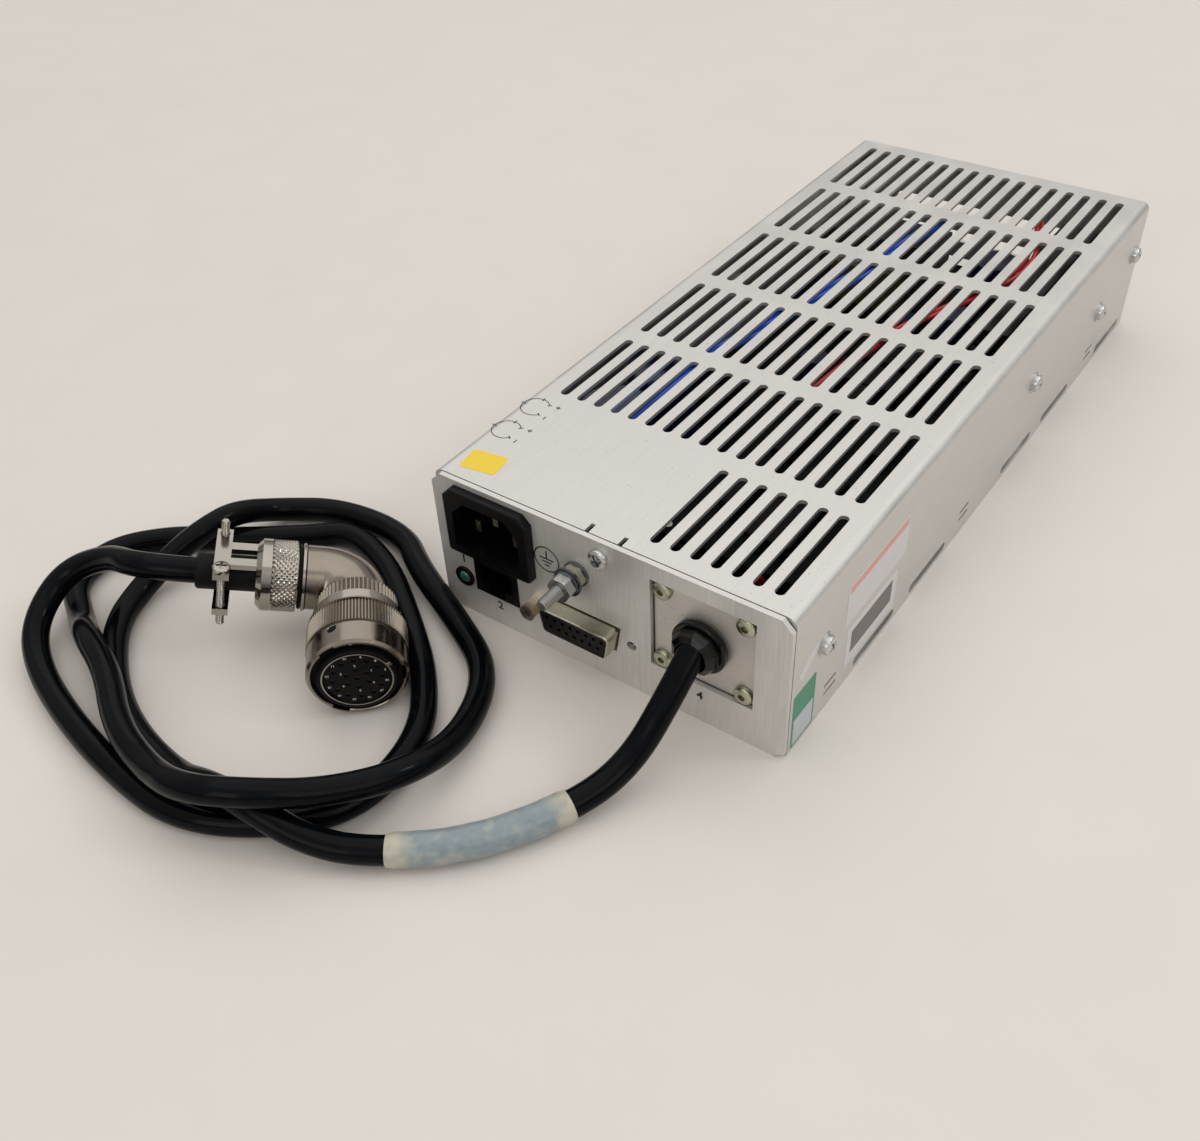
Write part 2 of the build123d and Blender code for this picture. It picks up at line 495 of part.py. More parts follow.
def stud_nut(start, label):
    """Hexagon nut on the earth stud, its corners turned round."""
    with BuildPart() as nut:
        with BuildSketch(stud_face.offset(start)):
            RegularPolygon(NUT_AF / 2, 6, major_radius=False)
        extrude(amount=NUT_T)
        with BuildSketch(stud_face.offset(start)):
            Circle(NUT_CORNER_R)
        extrude(amount=NUT_T, mode=Mode.INTERSECT)
        with BuildSketch(stud_face.offset(start)):
            Circle(STUD_PITCH_R + ROUND_FIT)
        extrude(amount=NUT_T, mode=Mode.SUBTRACT)
    save(nut, label)


with BuildPart() as earth_washers:
    disc(stud_face, TOOTH_WASHER_R, TOOTH_WASHER_T, STUD_R + ROUND_FIT)
    disc(stud_face.offset(second), FLAT_WASHER_R, FLAT_WASHER_T, STUD_R + ROUND_FIT)
    disc(stud_face.offset(second + FLAT_WASHER_T), TOOTH_WASHER_R, TOOTH_WASHER_T, STUD_R + ROUND_FIT)
save(earth_washers, "earth_washers")
stud_nut(TOOTH_WASHER_T, "earth_inner_nut")
stud_nut(outer_nut_at, "earth_outer_nut")

# ---- cable plate, bracket and gland ------------------------------------------------------------
plate_back = panel_back.offset(-PAN_T)
with BuildPart() as gland_plate:
    with BuildSketch(panel_back):
        with Locations((PLATE_X, PLATE_Z)):
            Rectangle(PLATE_W - 2 * PLATE_GAP, PLATE_H - 2 * PLATE_GAP)
            with GridLocations(PLATE_SCREW_PX, PLATE_SCREW_PZ, 2, 2):
                Circle(M3_HOLE_R, mode=Mode.SUBTRACT)
        with Locations((GLAND_X, GLAND_Z)):
            Circle(GLAND_NECK_R + ROUND_FIT, mode=Mode.SUBTRACT)
    extrude(amount=-PAN_T)
save(gland_plate, "gland_plate")

with BuildPart() as plate_bracket:
    with BuildSketch(plate_back):
        with Locations((PLATE_X, PAN_T)):
            Rectangle(BRACKET_W, BRACKET_H, align=(Align.CENTER, Align.MIN))
        with Locations((PLATE_X, PLATE_Z)):
            with GridLocations(PLATE_SCREW_PX, PLATE_SCREW_PZ, 2, 2):
                Circle(M3_R + ROUND_FIT, mode=Mode.SUBTRACT)
        with Locations((GLAND_X, GLAND_Z)):
            Circle(GLAND_NUT_AF / 2 + 2, mode=Mode.SUBTRACT)
    extrude(amount=-PAN_T)
    with BuildSketch(Plane.XY.offset(PAN_T)):
        with Locations((PLATE_X, front_y + 2 * PAN_T)):
            Rectangle(BRACKET_W, BRACKET_FOOT, align=(Align.CENTER, Align.MIN))
    extrude(amount=PAN_T)
save(plate_bracket, "plate_bracket")

with BuildPart() as gland_plate_screws:
    for head in (True, False):
        with BuildSketch(panel_back):
            with Locations((PLATE_X, PLATE_Z)):
                with GridLocations(PLATE_SCREW_PX, PLATE_SCREW_PZ, 2, 2):
                    Circle(M3_HEAD_R if head else M3_R)
        extrude(amount=PAN_T + 0.3 if head else -7.0)
    fillet(gland_plate_screws.edges().filter_by(GeomType.CIRCLE).group_by(Axis.Y)[0], PLATE_SCREW_DOME)
save(gland_plate_screws, "gland_plate_screws")

lead_start = Vector(GLAND_X, front_y - EXIT_IN, GLAND_Z + EXIT_UP)
lead_points = [lead_start] + [corner + Vector(*p) for p in LEAD_POINTS] + [elbow + arm * LEAD_END]
exit_way = (lead_points[1] - lead_points[0]).normalized()
with BuildPart() as gland_body:
    gland_face = panel_back.shift_origin((GLAND_X, front_y + PAN_T, GLAND_Z))
    disc(gland_face, GLAND_FLANGE_R, GLAND_FLANGE_T)
    disc(gland_face, GLAND_HEAD_R, GLAND_HEAD_L)
    chamfer(gland_body.edges().filter_by(GeomType.CIRCLE).sort_by(Axis.Y)[0], GLAND_CHAMFER)
    disc(gland_face, GLAND_NECK_R, -GLAND_NECK_L)
    # throat in line with the lead's first run
    with BuildSketch(Plane(origin=lead_start, z_dir=exit_way)):
        Circle(THROAT_R)
    extrude(amount=14.0, mode=Mode.SUBTRACT)
save(gland_body, "gland_body")

with BuildPart() as gland_nut:
    with BuildSketch(plate_back.shift_origin((GLAND_X, front_y + 2 * PAN_T, GLAND_Z))):
        RegularPolygon(GLAND_NUT_AF / 2, 6, major_radius=False)
        Circle(GLAND_NECK_R + ROUND_FIT, mode=Mode.SUBTRACT)
    extrude(amount=-GLAND_NUT_T)
save(gland_nut, "gland_nut")

# ---- pump lead -----------------------------------------------------------------------------------


def route_radii(points):
    """Arc radius at each inner corner of a route, from its shorter run and half its turn."""
    radii = []
    for before, here, after in zip(points, points[1:], points[2:]):
        run_in, run_out = here - before, after - here
        half_turn = radians(run_in.get_angle(run_out) / 2)
        radii.append(RADIUS_SHARE * min(run_in.length, run_out.length) / tan(half_turn))
    return radii


radii = route_radii(lead_points)
print("lead radii", [round(r, 1) for r in radii])
with BuildPart() as cable:
    with BuildLine() as lead_path:
        FilletPolyline(*lead_points, radius=radii)
    lead_wire = lead_path.wire()
    with BuildSketch(Plane(origin=lead_wire @ 0, z_dir=lead_wire % 0)):
        Circle(CABLE_R)
    sweep(path=lead_wire)
print("lead length", round(lead_wire.length, 1), "volume ratio",
      round(cable.part.volume / (lead_wire.length * 3.14159265 * CABLE_R**2), 4))
save(cable, "cable")

# Marking sleeve: a stretch of the same path.
sleeve_wire = lead_wire.trim(SLEEVE_RUN[0] / lead_wire.length, SLEEVE_RUN[1] / lead_wire.length)
with BuildPart() as cable_sleeve:
    with BuildSketch(Plane(origin=sleeve_wire @ 0, z_dir=sleeve_wire % 0)):
        Circle(SLEEVE_R)
        Circle(CABLE_R + ROUND_FIT, mode=Mode.SUBTRACT)
    sweep(path=sleeve_wire)
save(cable_sleeve, "cable_sleeve")

# ---- plug: mating side ---------------------------------------------------------------------------
with BuildPart() as plug_elbow:
    with BuildLine() as bend:
        a0, a1 = elbow + heading * REAR_RING[1], elbow + heading * ELBOW_BEND
        b1, b0 = elbow + arm * ELBOW_BEND, elbow + arm * ELBOW_ARM_END
        Line(a0, a1)
        TangentArc(a1, b1, tangent=-heading)
        Line(b1, b0)
    bend_wire = bend.wire()
    with BuildSketch(Plane(origin=bend_wire @ 0, z_dir=bend_wire % 0)):
        Circle(ELBOW_R)
    sweep(path=bend_wire)
    disc(on_arm(ELBOW_ARM_END), SPIGOT_R, BELL[0] - ELBOW_ARM_END)
save(plug_elbow, "plug_elbow")

with BuildPart() as backshell_ring:
    disc(on_mating_axis(REAR_RING[0]), REAR_RING_R, REAR_RING[1] - REAR_RING[0], ELBOW_R + ROUND_FIT)
    chamfer(rims(backshell_ring, REAR_RING_R), REAR_EDGE)
save(backshell_ring, "backshell_ring")

lip_end = RING_START + RING_LIP_L
lip_r = SHELL_SHOULDER_R - RING_WALL
with BuildPart() as plug_shell:
    disc(on_mating_axis(SHELL_SHOULDER[0]), SHELL_SHOULDER_R, SHELL_SHOULDER[1] - SHELL_SHOULDER[0])
    chamfer(plug_shell.faces().sort_by(Axis(elbow, heading))[0].edges(), SHELL_EDGE)
    disc(on_mating_axis(SHELL_SHOULDER[1]), lip_r - RUN_FIT, lip_end + 0.3 - SHELL_SHOULDER[1])
    disc(on_mating_axis(lip_end + 0.3), RING_R - RING_WALL - RUN_FIT, SHELL_COLLAR_END - lip_end - 0.3)
    disc(on_mating_axis(SHELL_COLLAR_END), SHELL_BARREL_R, SHELL_END - SHELL_COLLAR_END)
    with BuildSketch(on_mating_axis(INSERT_START)) as bore:
        Circle(INSERT_R + ROUND_FIT)
    extrude(bore.sketch, amount=SHELL_END - INSERT_START, mode=Mode.SUBTRACT)
save(plug_shell, "plug_shell")

with BuildPart() as coupling_ring:
    disc(on_mating_axis(RING_START), RING_R, RING_END - RING_START, RING_R - RING_WALL)
    disc(on_mating_axis(RING_START), RING_R - RING_WALL / 2, RING_LIP_L, lip_r)
    chamfer(rims(coupling_ring, RING_R), RING_EDGE)
    with BuildSketch(on_mating_axis(RING_END)):
        with PolarLocations(RING_R - RING_WALL, RING_NOTCHES, start_angle=20):
            Rectangle(2 * RING_NOTCH_D, RING_NOTCH_W)
    extrude(amount=-RING_NOTCH_L, mode=Mode.SUBTRACT)
save(coupling_ring, "coupling_ring")

contact_spots = []
for count, circle_r in CONTACT_RINGS:
    for i in range(count):
        angle = radians(360 * i / count)
        contact_spots.append((circle_r * cos(angle), circle_r * sin(angle)))
with BuildPart() as plug_insert:
    disc(on_mating_axis(INSERT_START), INSERT_R, INSERT_END - INSERT_START)
    with BuildSketch(on_mating_axis(INSERT_END)):
        with Locations(*contact_spots):
            Circle(CONTACT_R)
    extrude(amount=-(INSERT_END - INSERT_START), mode=Mode.SUBTRACT)
save(plug_insert, "plug_insert")

with BuildPart() as plug_contacts:
    with BuildSketch(on_mating_axis(INSERT_START)):
        with Locations(*contact_spots):
            Circle(CONTACT_R - ROUND_FIT / 2)
    extrude(amount=INSERT_END - INSERT_START - CONTACT_RECESS)
save(plug_contacts, "plug_contacts")

# ---- plug: cable side ----------------------------------------------------------------------------
with BuildPart() as arm_nut:
    disc(on_arm(ARM_NUT[0]), ARM_NUT_R, ARM_NUT[1] - ARM_NUT[0], SPIGOT_R + ROUND_FIT)
    chamfer(rims(arm_nut, ARM_NUT_R), RING_EDGE)
save(arm_nut, "arm_nut")

with BuildPart() as clamp_yoke:
    disc(on_arm(BELL[0]), BELL_R, BELL[1] - BELL[0], BUSH_R + ROUND_FIT)
    chamfer(rims(clamp_yoke, BELL_R).sort_by(Axis(elbow, arm))[-1], BELL_EDGE)
    strap_x = BUSH_R + SHEET_FIT + STRAP_T / 2
    with BuildSketch(on_arm(BELL[0])):
        with Locations((strap_x, 0)):
            with GridLocations(1, 2 * STRAP_SPREAD, 1, 2):
                Rectangle(STRAP_T, STRAP_W)
    extrude(amount=SADDLE[1] - BELL[0])
    with BuildSketch(on_arm(SADDLE[0])):
        with Locations((strap_x - STRAP_T / 2 + SADDLE_T / 2, 0)):
            Rectangle(SADDLE_T, SADDLE_LEN)
    extrude(amount=SADDLE[1] - SADDLE[0])
    clamp_mid = (SADDLE[0] + SADDLE[1]) / 2
    screw_plane = Plane(origin=elbow + arm * clamp_mid, x_dir=heading, z_dir=arm_up)
    with BuildSketch(screw_plane):
        with GridLocations(2 * CLAMP_SCREW_OFF, 1, 2, 1):
            Circle(CLAMP_SCREW_R + ROUND_FIT)
    extrude(amount=20, mode=Mode.SUBTRACT)
save(clamp_yoke, "clamp_yoke")

with BuildPart() as clamp_saddle:
    with BuildSketch(on_arm(SADDLE[0])):
        with Locations((-(BUSH_R + SHEET_FIT + SADDLE_T / 2), 0)):
            Rectangle(SADDLE_T, SADDLE_LEN)
    extrude(amount=SADDLE[1] - SADDLE[0])
    with BuildSketch(screw_plane):
        with GridLocations(2 * CLAMP_SCREW_OFF, 1, 2, 1):
            Circle(CLAMP_SCREW_R + ROUND_FIT)
    extrude(amount=-20, mode=Mode.SUBTRACT)
save(clamp_saddle, "clamp_saddle")

with BuildPart() as clamp_screws:
    seat = BUSH_R + SHEET_FIT + SADDLE_T
    for side in (1, -1):
        # the front screw points down, the rear one up
        head_plane = Plane(origin=screw_plane.origin + heading * side * CLAMP_SCREW_OFF + arm_up * side * seat,
                           x_dir=heading, z_dir=arm_up * side)
        disc(head_plane, CLAMP_HEAD_R, CLAMP_HEAD_H)
        disc(head_plane, CLAMP_SCREW_R, -CLAMP_SCREW_L)
save(clamp_screws, "clamp_screws")

with BuildPart() as clamp_bushing:
    disc(on_arm(BUSH[0]), BUSH_R, BUSH[1] - BUSH[0])
    chamfer(clamp_bushing.edges().filter_by(GeomType.CIRCLE), BUSH_EDGE)
    # socket in line with the lead's last run
    with BuildSketch(Plane(origin=lead_wire @ 1, z_dir=-(lead_wire % 1))) as socket:
        Circle(CABLE_R + ROUND_FIT)
    extrude(socket.sketch, amount=2 * (BUSH[1] - LEAD_END), mode=Mode.SUBTRACT)
save(clamp_bushing, "clamp_bushing")

# ---- inside the case --------------------------------------------------------------------------
board_top = BOARD_Z + BOARD_T
board_w = inner_w - 2 * BOARD_MARGIN
board_front, board_rear = front_y + 8.0, rear_wall_y - PAN_T - BOARD_MARGIN
board_l = board_rear - board_front
board_y = (board_front + board_rear) / 2
post_spots = [(side * (board_w / 2 - POST_INSET), front_y + y) for y in POST_YS for side in (1, -1)]
with BuildPart() as main_board:
    with BuildSketch(Plane.XY.offset(BOARD_Z)):
        with Locations((0, board_y)):
            RectangleRounded(board_w, board_l, 2)
        with Locations(*post_spots):
            Circle(M3_R + ROUND_FIT, mode=Mode.SUBTRACT)
        with Locations((PLATE_X, front_y)):
            Rectangle(BRACKET_W + 4, 2 * (BRACKET_FOOT + 5), mode=Mode.SUBTRACT)
    extrude(amount=BOARD_T)
save(main_board, "main_board")

with BuildPart() as board_standoffs:
    with BuildSketch(Plane.XY.offset(PAN_T)):
        with Locations(*post_spots):
            RegularPolygon(STANDOFF_AF / 2, 6, major_radius=False)
    extrude(amount=BOARD_Z - PAN_T)
save(board_standoffs, "board_standoffs")

with BuildPart() as board_screws:
    for radius, length in ((M3_HEAD_R, M3_HEAD_H), (M3_R, -BOARD_T)):
        with BuildSketch(Plane.XY.offset(board_top)):
            with Locations(*post_spots):
                Circle(radius)
        extrude(amount=length)
save(board_screws, "board_screws")


def on_board(x, y, z=0.0):
    """Plane on the main board, at x from the centre and y from the panel."""
    return Plane(origin=(x, front_y + y, board_top + z))


def block(plane, width, length, height, corner_r=0.0):
    """Upright block on a plane, with rounded upright edges."""
    with BuildSketch(plane) as base:
        if corner_r:
            RectangleRounded(width, length, corner_r)
        else:
            Rectangle(width, length)
    extrude(base.sketch, amount=height)


TRANSFORMER_X, TRANSFORMER_Y = -22.0, 222.0
CORE_W, CORE_L, CORE_H, CORE_LEG, WINDING_FIT = 46.0, 38.0, 32.0, 8.0, 0.3
with BuildPart() as transformer_core:
    with BuildSketch(Plane.XZ.offset(-(front_y + TRANSFORMER_Y + CORE_L / 4))):
        with Locations((TRANSFORMER_X, board_top + CORE_H / 2)):
            Rectangle(CORE_W, CORE_H)
            with GridLocations(CORE_W / 2 - CORE_LEG / 2, 1, 2, 1):
                Rectangle(CORE_W / 2 - 1.5 * CORE_LEG, CORE_H - 2 * CORE_LEG, mode=Mode.SUBTRACT)
    extrude(amount=CORE_L / 2)
save(transformer_core, "transformer_core")

with BuildPart() as transformer_winding:
    gap = WINDING_FIT
    with BuildSketch(Plane.XY.offset(board_top + CORE_LEG + gap)):
        with Locations((TRANSFORMER_X, front_y + TRANSFORMER_Y)):
            RectangleRounded(CORE_W - 2 * CORE_LEG - 2 * gap, CORE_L, 5)
            Rectangle(CORE_LEG + 2 * gap, CORE_L / 2 + 2 * gap, mode=Mode.SUBTRACT)
    extrude(amount=CORE_H - 2 * CORE_LEG - 2 * gap)
save(transformer_winding, "transformer_winding")

BULK_X, BULK_YS, BULK_R, BULK_H, BULK_EDGE = -38.0, (62.0, 90.0), 12.0, 36.0, 1.5
with BuildPart() as bulk_capacitors:
    for y in BULK_YS:
        disc(on_board(BULK_X, y), BULK_R, BULK_H)
    fillet(bulk_capacitors.edges().filter_by(GeomType.CIRCLE).group_by(Axis.Z)[-1], BULK_EDGE)
save(bulk_capacitors, "bulk_capacitors")

CHOKE_AT, CHOKE_R, CHOKE_H, CHOKE_BORE_R, CHOKE_EDGE = (-40.0, 122.0), 13.0, 13.0, 5.5, 2.4
with BuildPart() as filter_choke:
    disc(on_board(*CHOKE_AT), CHOKE_R, CHOKE_H, CHOKE_BORE_R)
    fillet(filter_choke.edges().filter_by(GeomType.CIRCLE), CHOKE_EDGE)
save(filter_choke, "filter_choke")

FUSE_X, FUSE_Y, FUSE_Z, FUSE_R, FUSE_L = -22.0, 34.0, 4.6, 2.5, 20.0
CLIP_SPREAD, CLIP_W, CLIP_L, CLIP_H = 8.0, 6.0, 4.0, 6.0
with BuildPart() as fuse_clips:
    for dy in (-CLIP_SPREAD, CLIP_SPREAD):
        block(on_board(FUSE_X, FUSE_Y + dy), CLIP_W, CLIP_L, CLIP_H)
    with BuildSketch(Plane.XZ.offset(-(front_y + FUSE_Y + FUSE_L / 2 + 1))) as barrel:
        with Locations((FUSE_X, board_top + FUSE_Z)):
            Circle(FUSE_R + 2 * ROUND_FIT)
    extrude(barrel.sketch, amount=FUSE_L + 2, mode=Mode.SUBTRACT)
save(fuse_clips, "fuse_clips")

with BuildPart() as fuse:
    with BuildSketch(Plane.XZ.offset(-(front_y + FUSE_Y + FUSE_L / 2))) as barrel:
        with Locations((FUSE_X, board_top + FUSE_Z)):
            Circle(FUSE_R)
    extrude(barrel.sketch, amount=FUSE_L)
save(fuse, "fuse")

HEATSINK_X, HEATSINK_Y, HEATSINK_L, HEATSINK_H = 47.0, 211.0, 88.0, 34.0
FIN_T, FIN_REACH, FIN_COUNT, FIN_BITE = 1.6, 9.0, 7, 1.4
HEATSINK_T = 3.0
TRANSISTOR_YS, TRANSISTOR_T, TRANSISTOR_W, TRANSISTOR_H = (176.0, 200.0, 224.0, 248.0), 4.6, 10.0, 16.0
with BuildPart() as heatsink:
    with BuildSketch(Plane.XZ.offset(-(front_y + HEATSINK_Y + HEATSINK_L / 2))):
        with Locations((HEATSINK_X, board_top)):
            Rectangle(HEATSINK_T, HEATSINK_H, align=(Align.CENTER, Align.MIN))
        with Locations((HEATSINK_X - FIN_BITE, board_top + HEATSINK_H / 2)):
            with GridLocations(1, (HEATSINK_H - FIN_T) / (FIN_COUNT - 1), 1, FIN_COUNT):
                Rectangle(FIN_REACH + FIN_BITE, FIN_T, align=(Align.MAX, Align.CENTER))
    extrude(amount=HEATSINK_L)
save(heatsink, "heatsink")

with BuildPart() as power_transistors:
    for y in TRANSISTOR_YS:
        block(on_board(HEATSINK_X + HEATSINK_T / 2 + TRANSISTOR_T / 2, y, 8.0), TRANSISTOR_T, TRANSISTOR_W,
              TRANSISTOR_H)
save(power_transistors, "power_transistors")

CONTROL_X, CONTROL_Y, CONTROL_W, CONTROL_L, CONTROL_RISE = 22.0, 86.0, 62.0, 96.0, 14.0
CONTROL_INSET = 4.0     # posts from the board's edges
post_px, post_py = CONTROL_W - 2 * CONTROL_INSET, CONTROL_L - 2 * CONTROL_INSET
with BuildPart() as control_board:
    with BuildSketch(Plane.XY.offset(board_top + CONTROL_RISE)):
        with Locations((CONTROL_X, front_y + CONTROL_Y)):
            RectangleRounded(CONTROL_W, CONTROL_L, 2)
            with GridLocations(post_px, post_py, 2, 2):
                Circle(M3_R + ROUND_FIT, mode=Mode.SUBTRACT)
    extrude(amount=BOARD_T)
save(control_board, "control_board")

with BuildPart() as control_posts:
    for z, length, radius in ((0.0, CONTROL_RISE, STANDOFF_AF / 2), (CONTROL_RISE, BOARD_T, M3_R)):
        with BuildSketch(on_board(CONTROL_X, CONTROL_Y, z)) as posts:
            with GridLocations(post_px, post_py, 2, 2):
                Circle(radius)
        extrude(posts.sketch, amount=length)
save(control_posts, "control_posts")

with BuildPart() as control_chips:
    chip_seat = CONTROL_RISE + BOARD_T
    for x, y, w, length in ((8, 64, 7, 20), (26, 64, 15, 38), (8, 96, 7, 20), (34, 110, 7, 20), (12, 124, 7, 20)):
        block(on_board(x, y + 2, chip_seat), w, length, 4.0)
save(control_chips, "control_chips")

with BuildPart() as relays:
    for y in (150.0, 166.0):
        block(on_board(10.0, y), 28.0, 12.5, 15.0, 0.8)
save(relays, "relays")

with BuildPart() as small_capacitors:
    for x, y, r, h in ((20, 196, 6, 20), (20, 212, 6, 20), (2, 190, 5, 16), (20, 230, 8, 26), (-14, 152, 5, 14)):
        disc(on_board(x, y), r, h)
save(small_capacitors, "small_capacitors")

# ---- trimmers behind the left wall --------------------------------------------------------------
trimmer_board_x = -inner_w / 2 + PAN_T + 2.0 + TRIMMER_DEPTH
trimmer_mid = (TRIMMER_YS["setpoint"] + TRIMMER_YS["timer"]) / 2
with BuildPart() as trimmer_board:
    with BuildSketch(Plane.YZ.offset(trimmer_board_x)):
        with Locations((front_y + trimmer_mid, board_top)):
            Rectangle(TRIMMER_BOARD_L, TRIMMER_Z + TRIMMER_BOARD_ABOVE - board_top,
                      align=(Align.CENTER, Align.MIN))
    extrude(amount=BOARD_T)
save(trimmer_board, "trimmer_board")

with BuildPart() as trimmer_housings:
    with BuildSketch(Plane.YZ.offset(trimmer_board_x)):
        with Locations(*[(front_y + y, TRIMMER_Z) for y in TRIMMER_YS.values()]):
            Rectangle(TRIMMER_SIZE, TRIMMER_SIZE)
    extrude(amount=-TRIMMER_DEPTH)
    with BuildSketch(Plane.YZ.offset(trimmer_board_x - TRIMMER_DEPTH)):
        with Locations(*[(front_y + y, TRIMMER_Z) for y in TRIMMER_YS.values()]):
            Circle(ROTOR_R + ROUND_FIT)
    extrude(amount=ROTOR_L - 1.0, mode=Mode.SUBTRACT)
save(trimmer_housings, "trimmer_housings")

for name, y in TRIMMER_YS.items():
    with BuildPart() as rotor:
        rotor_back = trimmer_board_x - TRIMMER_DEPTH + ROTOR_L - 1.0 - ROUND_FIT
        disc(Plane(origin=(rotor_back, front_y + y, TRIMMER_Z), z_dir=(-1, 0, 0)), ROTOR_R, ROTOR_L)
        with BuildSketch(Plane(origin=(rotor_back - ROTOR_L, front_y + y, TRIMMER_Z), z_dir=(1, 0, 0))) as slot:
            Rectangle(3 * ROTOR_R, ROTOR_SLOT_W)
        extrude(slot.sketch, amount=ROTOR_SLOT_D, mode=Mode.SUBTRACT)
    save(rotor, f"{name}_rotor")

# ---- wiring -------------------------------------------------------------------------------------


def loom(label, paths, radius):
    """Insulated wires, each along a polyline with rounded corners."""
    with BuildPart() as wires:
        for bend_r, points in paths:
            with BuildLine() as run:
                FilletPolyline(*points, radius=bend_r)
            wire = run.wire()
            with BuildSketch(Plane(origin=wire @ 0, z_dir=wire % 0)) as section:
                Circle(radius)
            sweep(section.sketch, path=wire)
    save(wires, label)


pin_y = front_y + INLET_DEPTH + BLADE_TAIL
loom("mains_wires", [
    (3.0, [(INLET_X + dx, pin_y, INLET_Z - BLADE_DROP), (INLET_X + dx, pin_y + 6 + lead, INLET_Z - BLADE_DROP),
           (INLET_X + dx, pin_y + 6 + lead, board_top)])
    for dx, lead in ((-BLADE_PITCH / 2, 0), (BLADE_PITCH / 2, 3))], WIRE_R)
neck_y = front_y + PAN_T + GLAND_NECK_L
loom("pump_wires", [
    (5.0, [(GLAND_X + dx, neck_y, GLAND_Z + dz), (GLAND_X + dx, neck_y + 20 + dz, GLAND_Z + dz),
           (GLAND_X + dx, neck_y + 20 + dz, board_top)])
    for dx, dz in ((-3, 0), (0, 2.5), (3, 0))], WIRE_R)
print(len(made), "nodes")
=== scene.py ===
"""Looks of a turbomolecular pump's bench controller, its lead and its right-angle plug.

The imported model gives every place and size.  This script adds the finishes, the knurls, threads
and screw recesses, the printing and the blank stickers, the lead's sleeve, and the studio.
"""

import json
import logging
import math
from dataclasses import dataclass, field
from enum import Enum
from typing import Callable, Iterable, Optional, Sequence

import bmesh
import bpy
from mathutils import Matrix, Vector

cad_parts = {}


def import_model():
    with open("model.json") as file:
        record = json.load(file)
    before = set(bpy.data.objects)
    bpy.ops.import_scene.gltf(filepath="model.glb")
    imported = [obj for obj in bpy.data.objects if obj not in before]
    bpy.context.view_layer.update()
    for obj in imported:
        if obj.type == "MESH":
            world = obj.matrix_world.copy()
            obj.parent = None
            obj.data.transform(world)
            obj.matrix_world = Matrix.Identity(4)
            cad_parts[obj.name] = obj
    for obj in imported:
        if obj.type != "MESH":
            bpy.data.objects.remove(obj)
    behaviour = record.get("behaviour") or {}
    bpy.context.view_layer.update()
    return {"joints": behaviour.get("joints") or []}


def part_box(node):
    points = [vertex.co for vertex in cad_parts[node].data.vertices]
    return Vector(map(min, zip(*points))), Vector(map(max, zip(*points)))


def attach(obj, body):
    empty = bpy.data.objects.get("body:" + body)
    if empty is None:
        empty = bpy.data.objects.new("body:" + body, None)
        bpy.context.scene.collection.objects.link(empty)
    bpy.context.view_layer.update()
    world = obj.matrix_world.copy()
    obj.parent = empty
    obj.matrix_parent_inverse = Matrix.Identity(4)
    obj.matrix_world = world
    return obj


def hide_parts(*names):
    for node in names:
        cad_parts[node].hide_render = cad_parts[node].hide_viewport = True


LOG = logging.getLogger("pump_controller")
MM = 0.001
TURN = 2 * math.pi
CASE = "case"
COUPLING = "coupling"

Color = tuple[float, float, float]
Relief = Callable[[float, float, float], float]


# ---- finishes ---------------------------------------------------------------------------------


class Grain(Enum):
    """Which way a surface's grain is drawn out, as a scale on each axis."""

    NONE = (1.0, 1.0, 1.0)
    ALONG_X = (0.03, 1.0, 1.0)
    ALONG_Y = (1.0, 0.03, 1.0)
    ALONG_Z = (1.0, 1.0, 0.03)


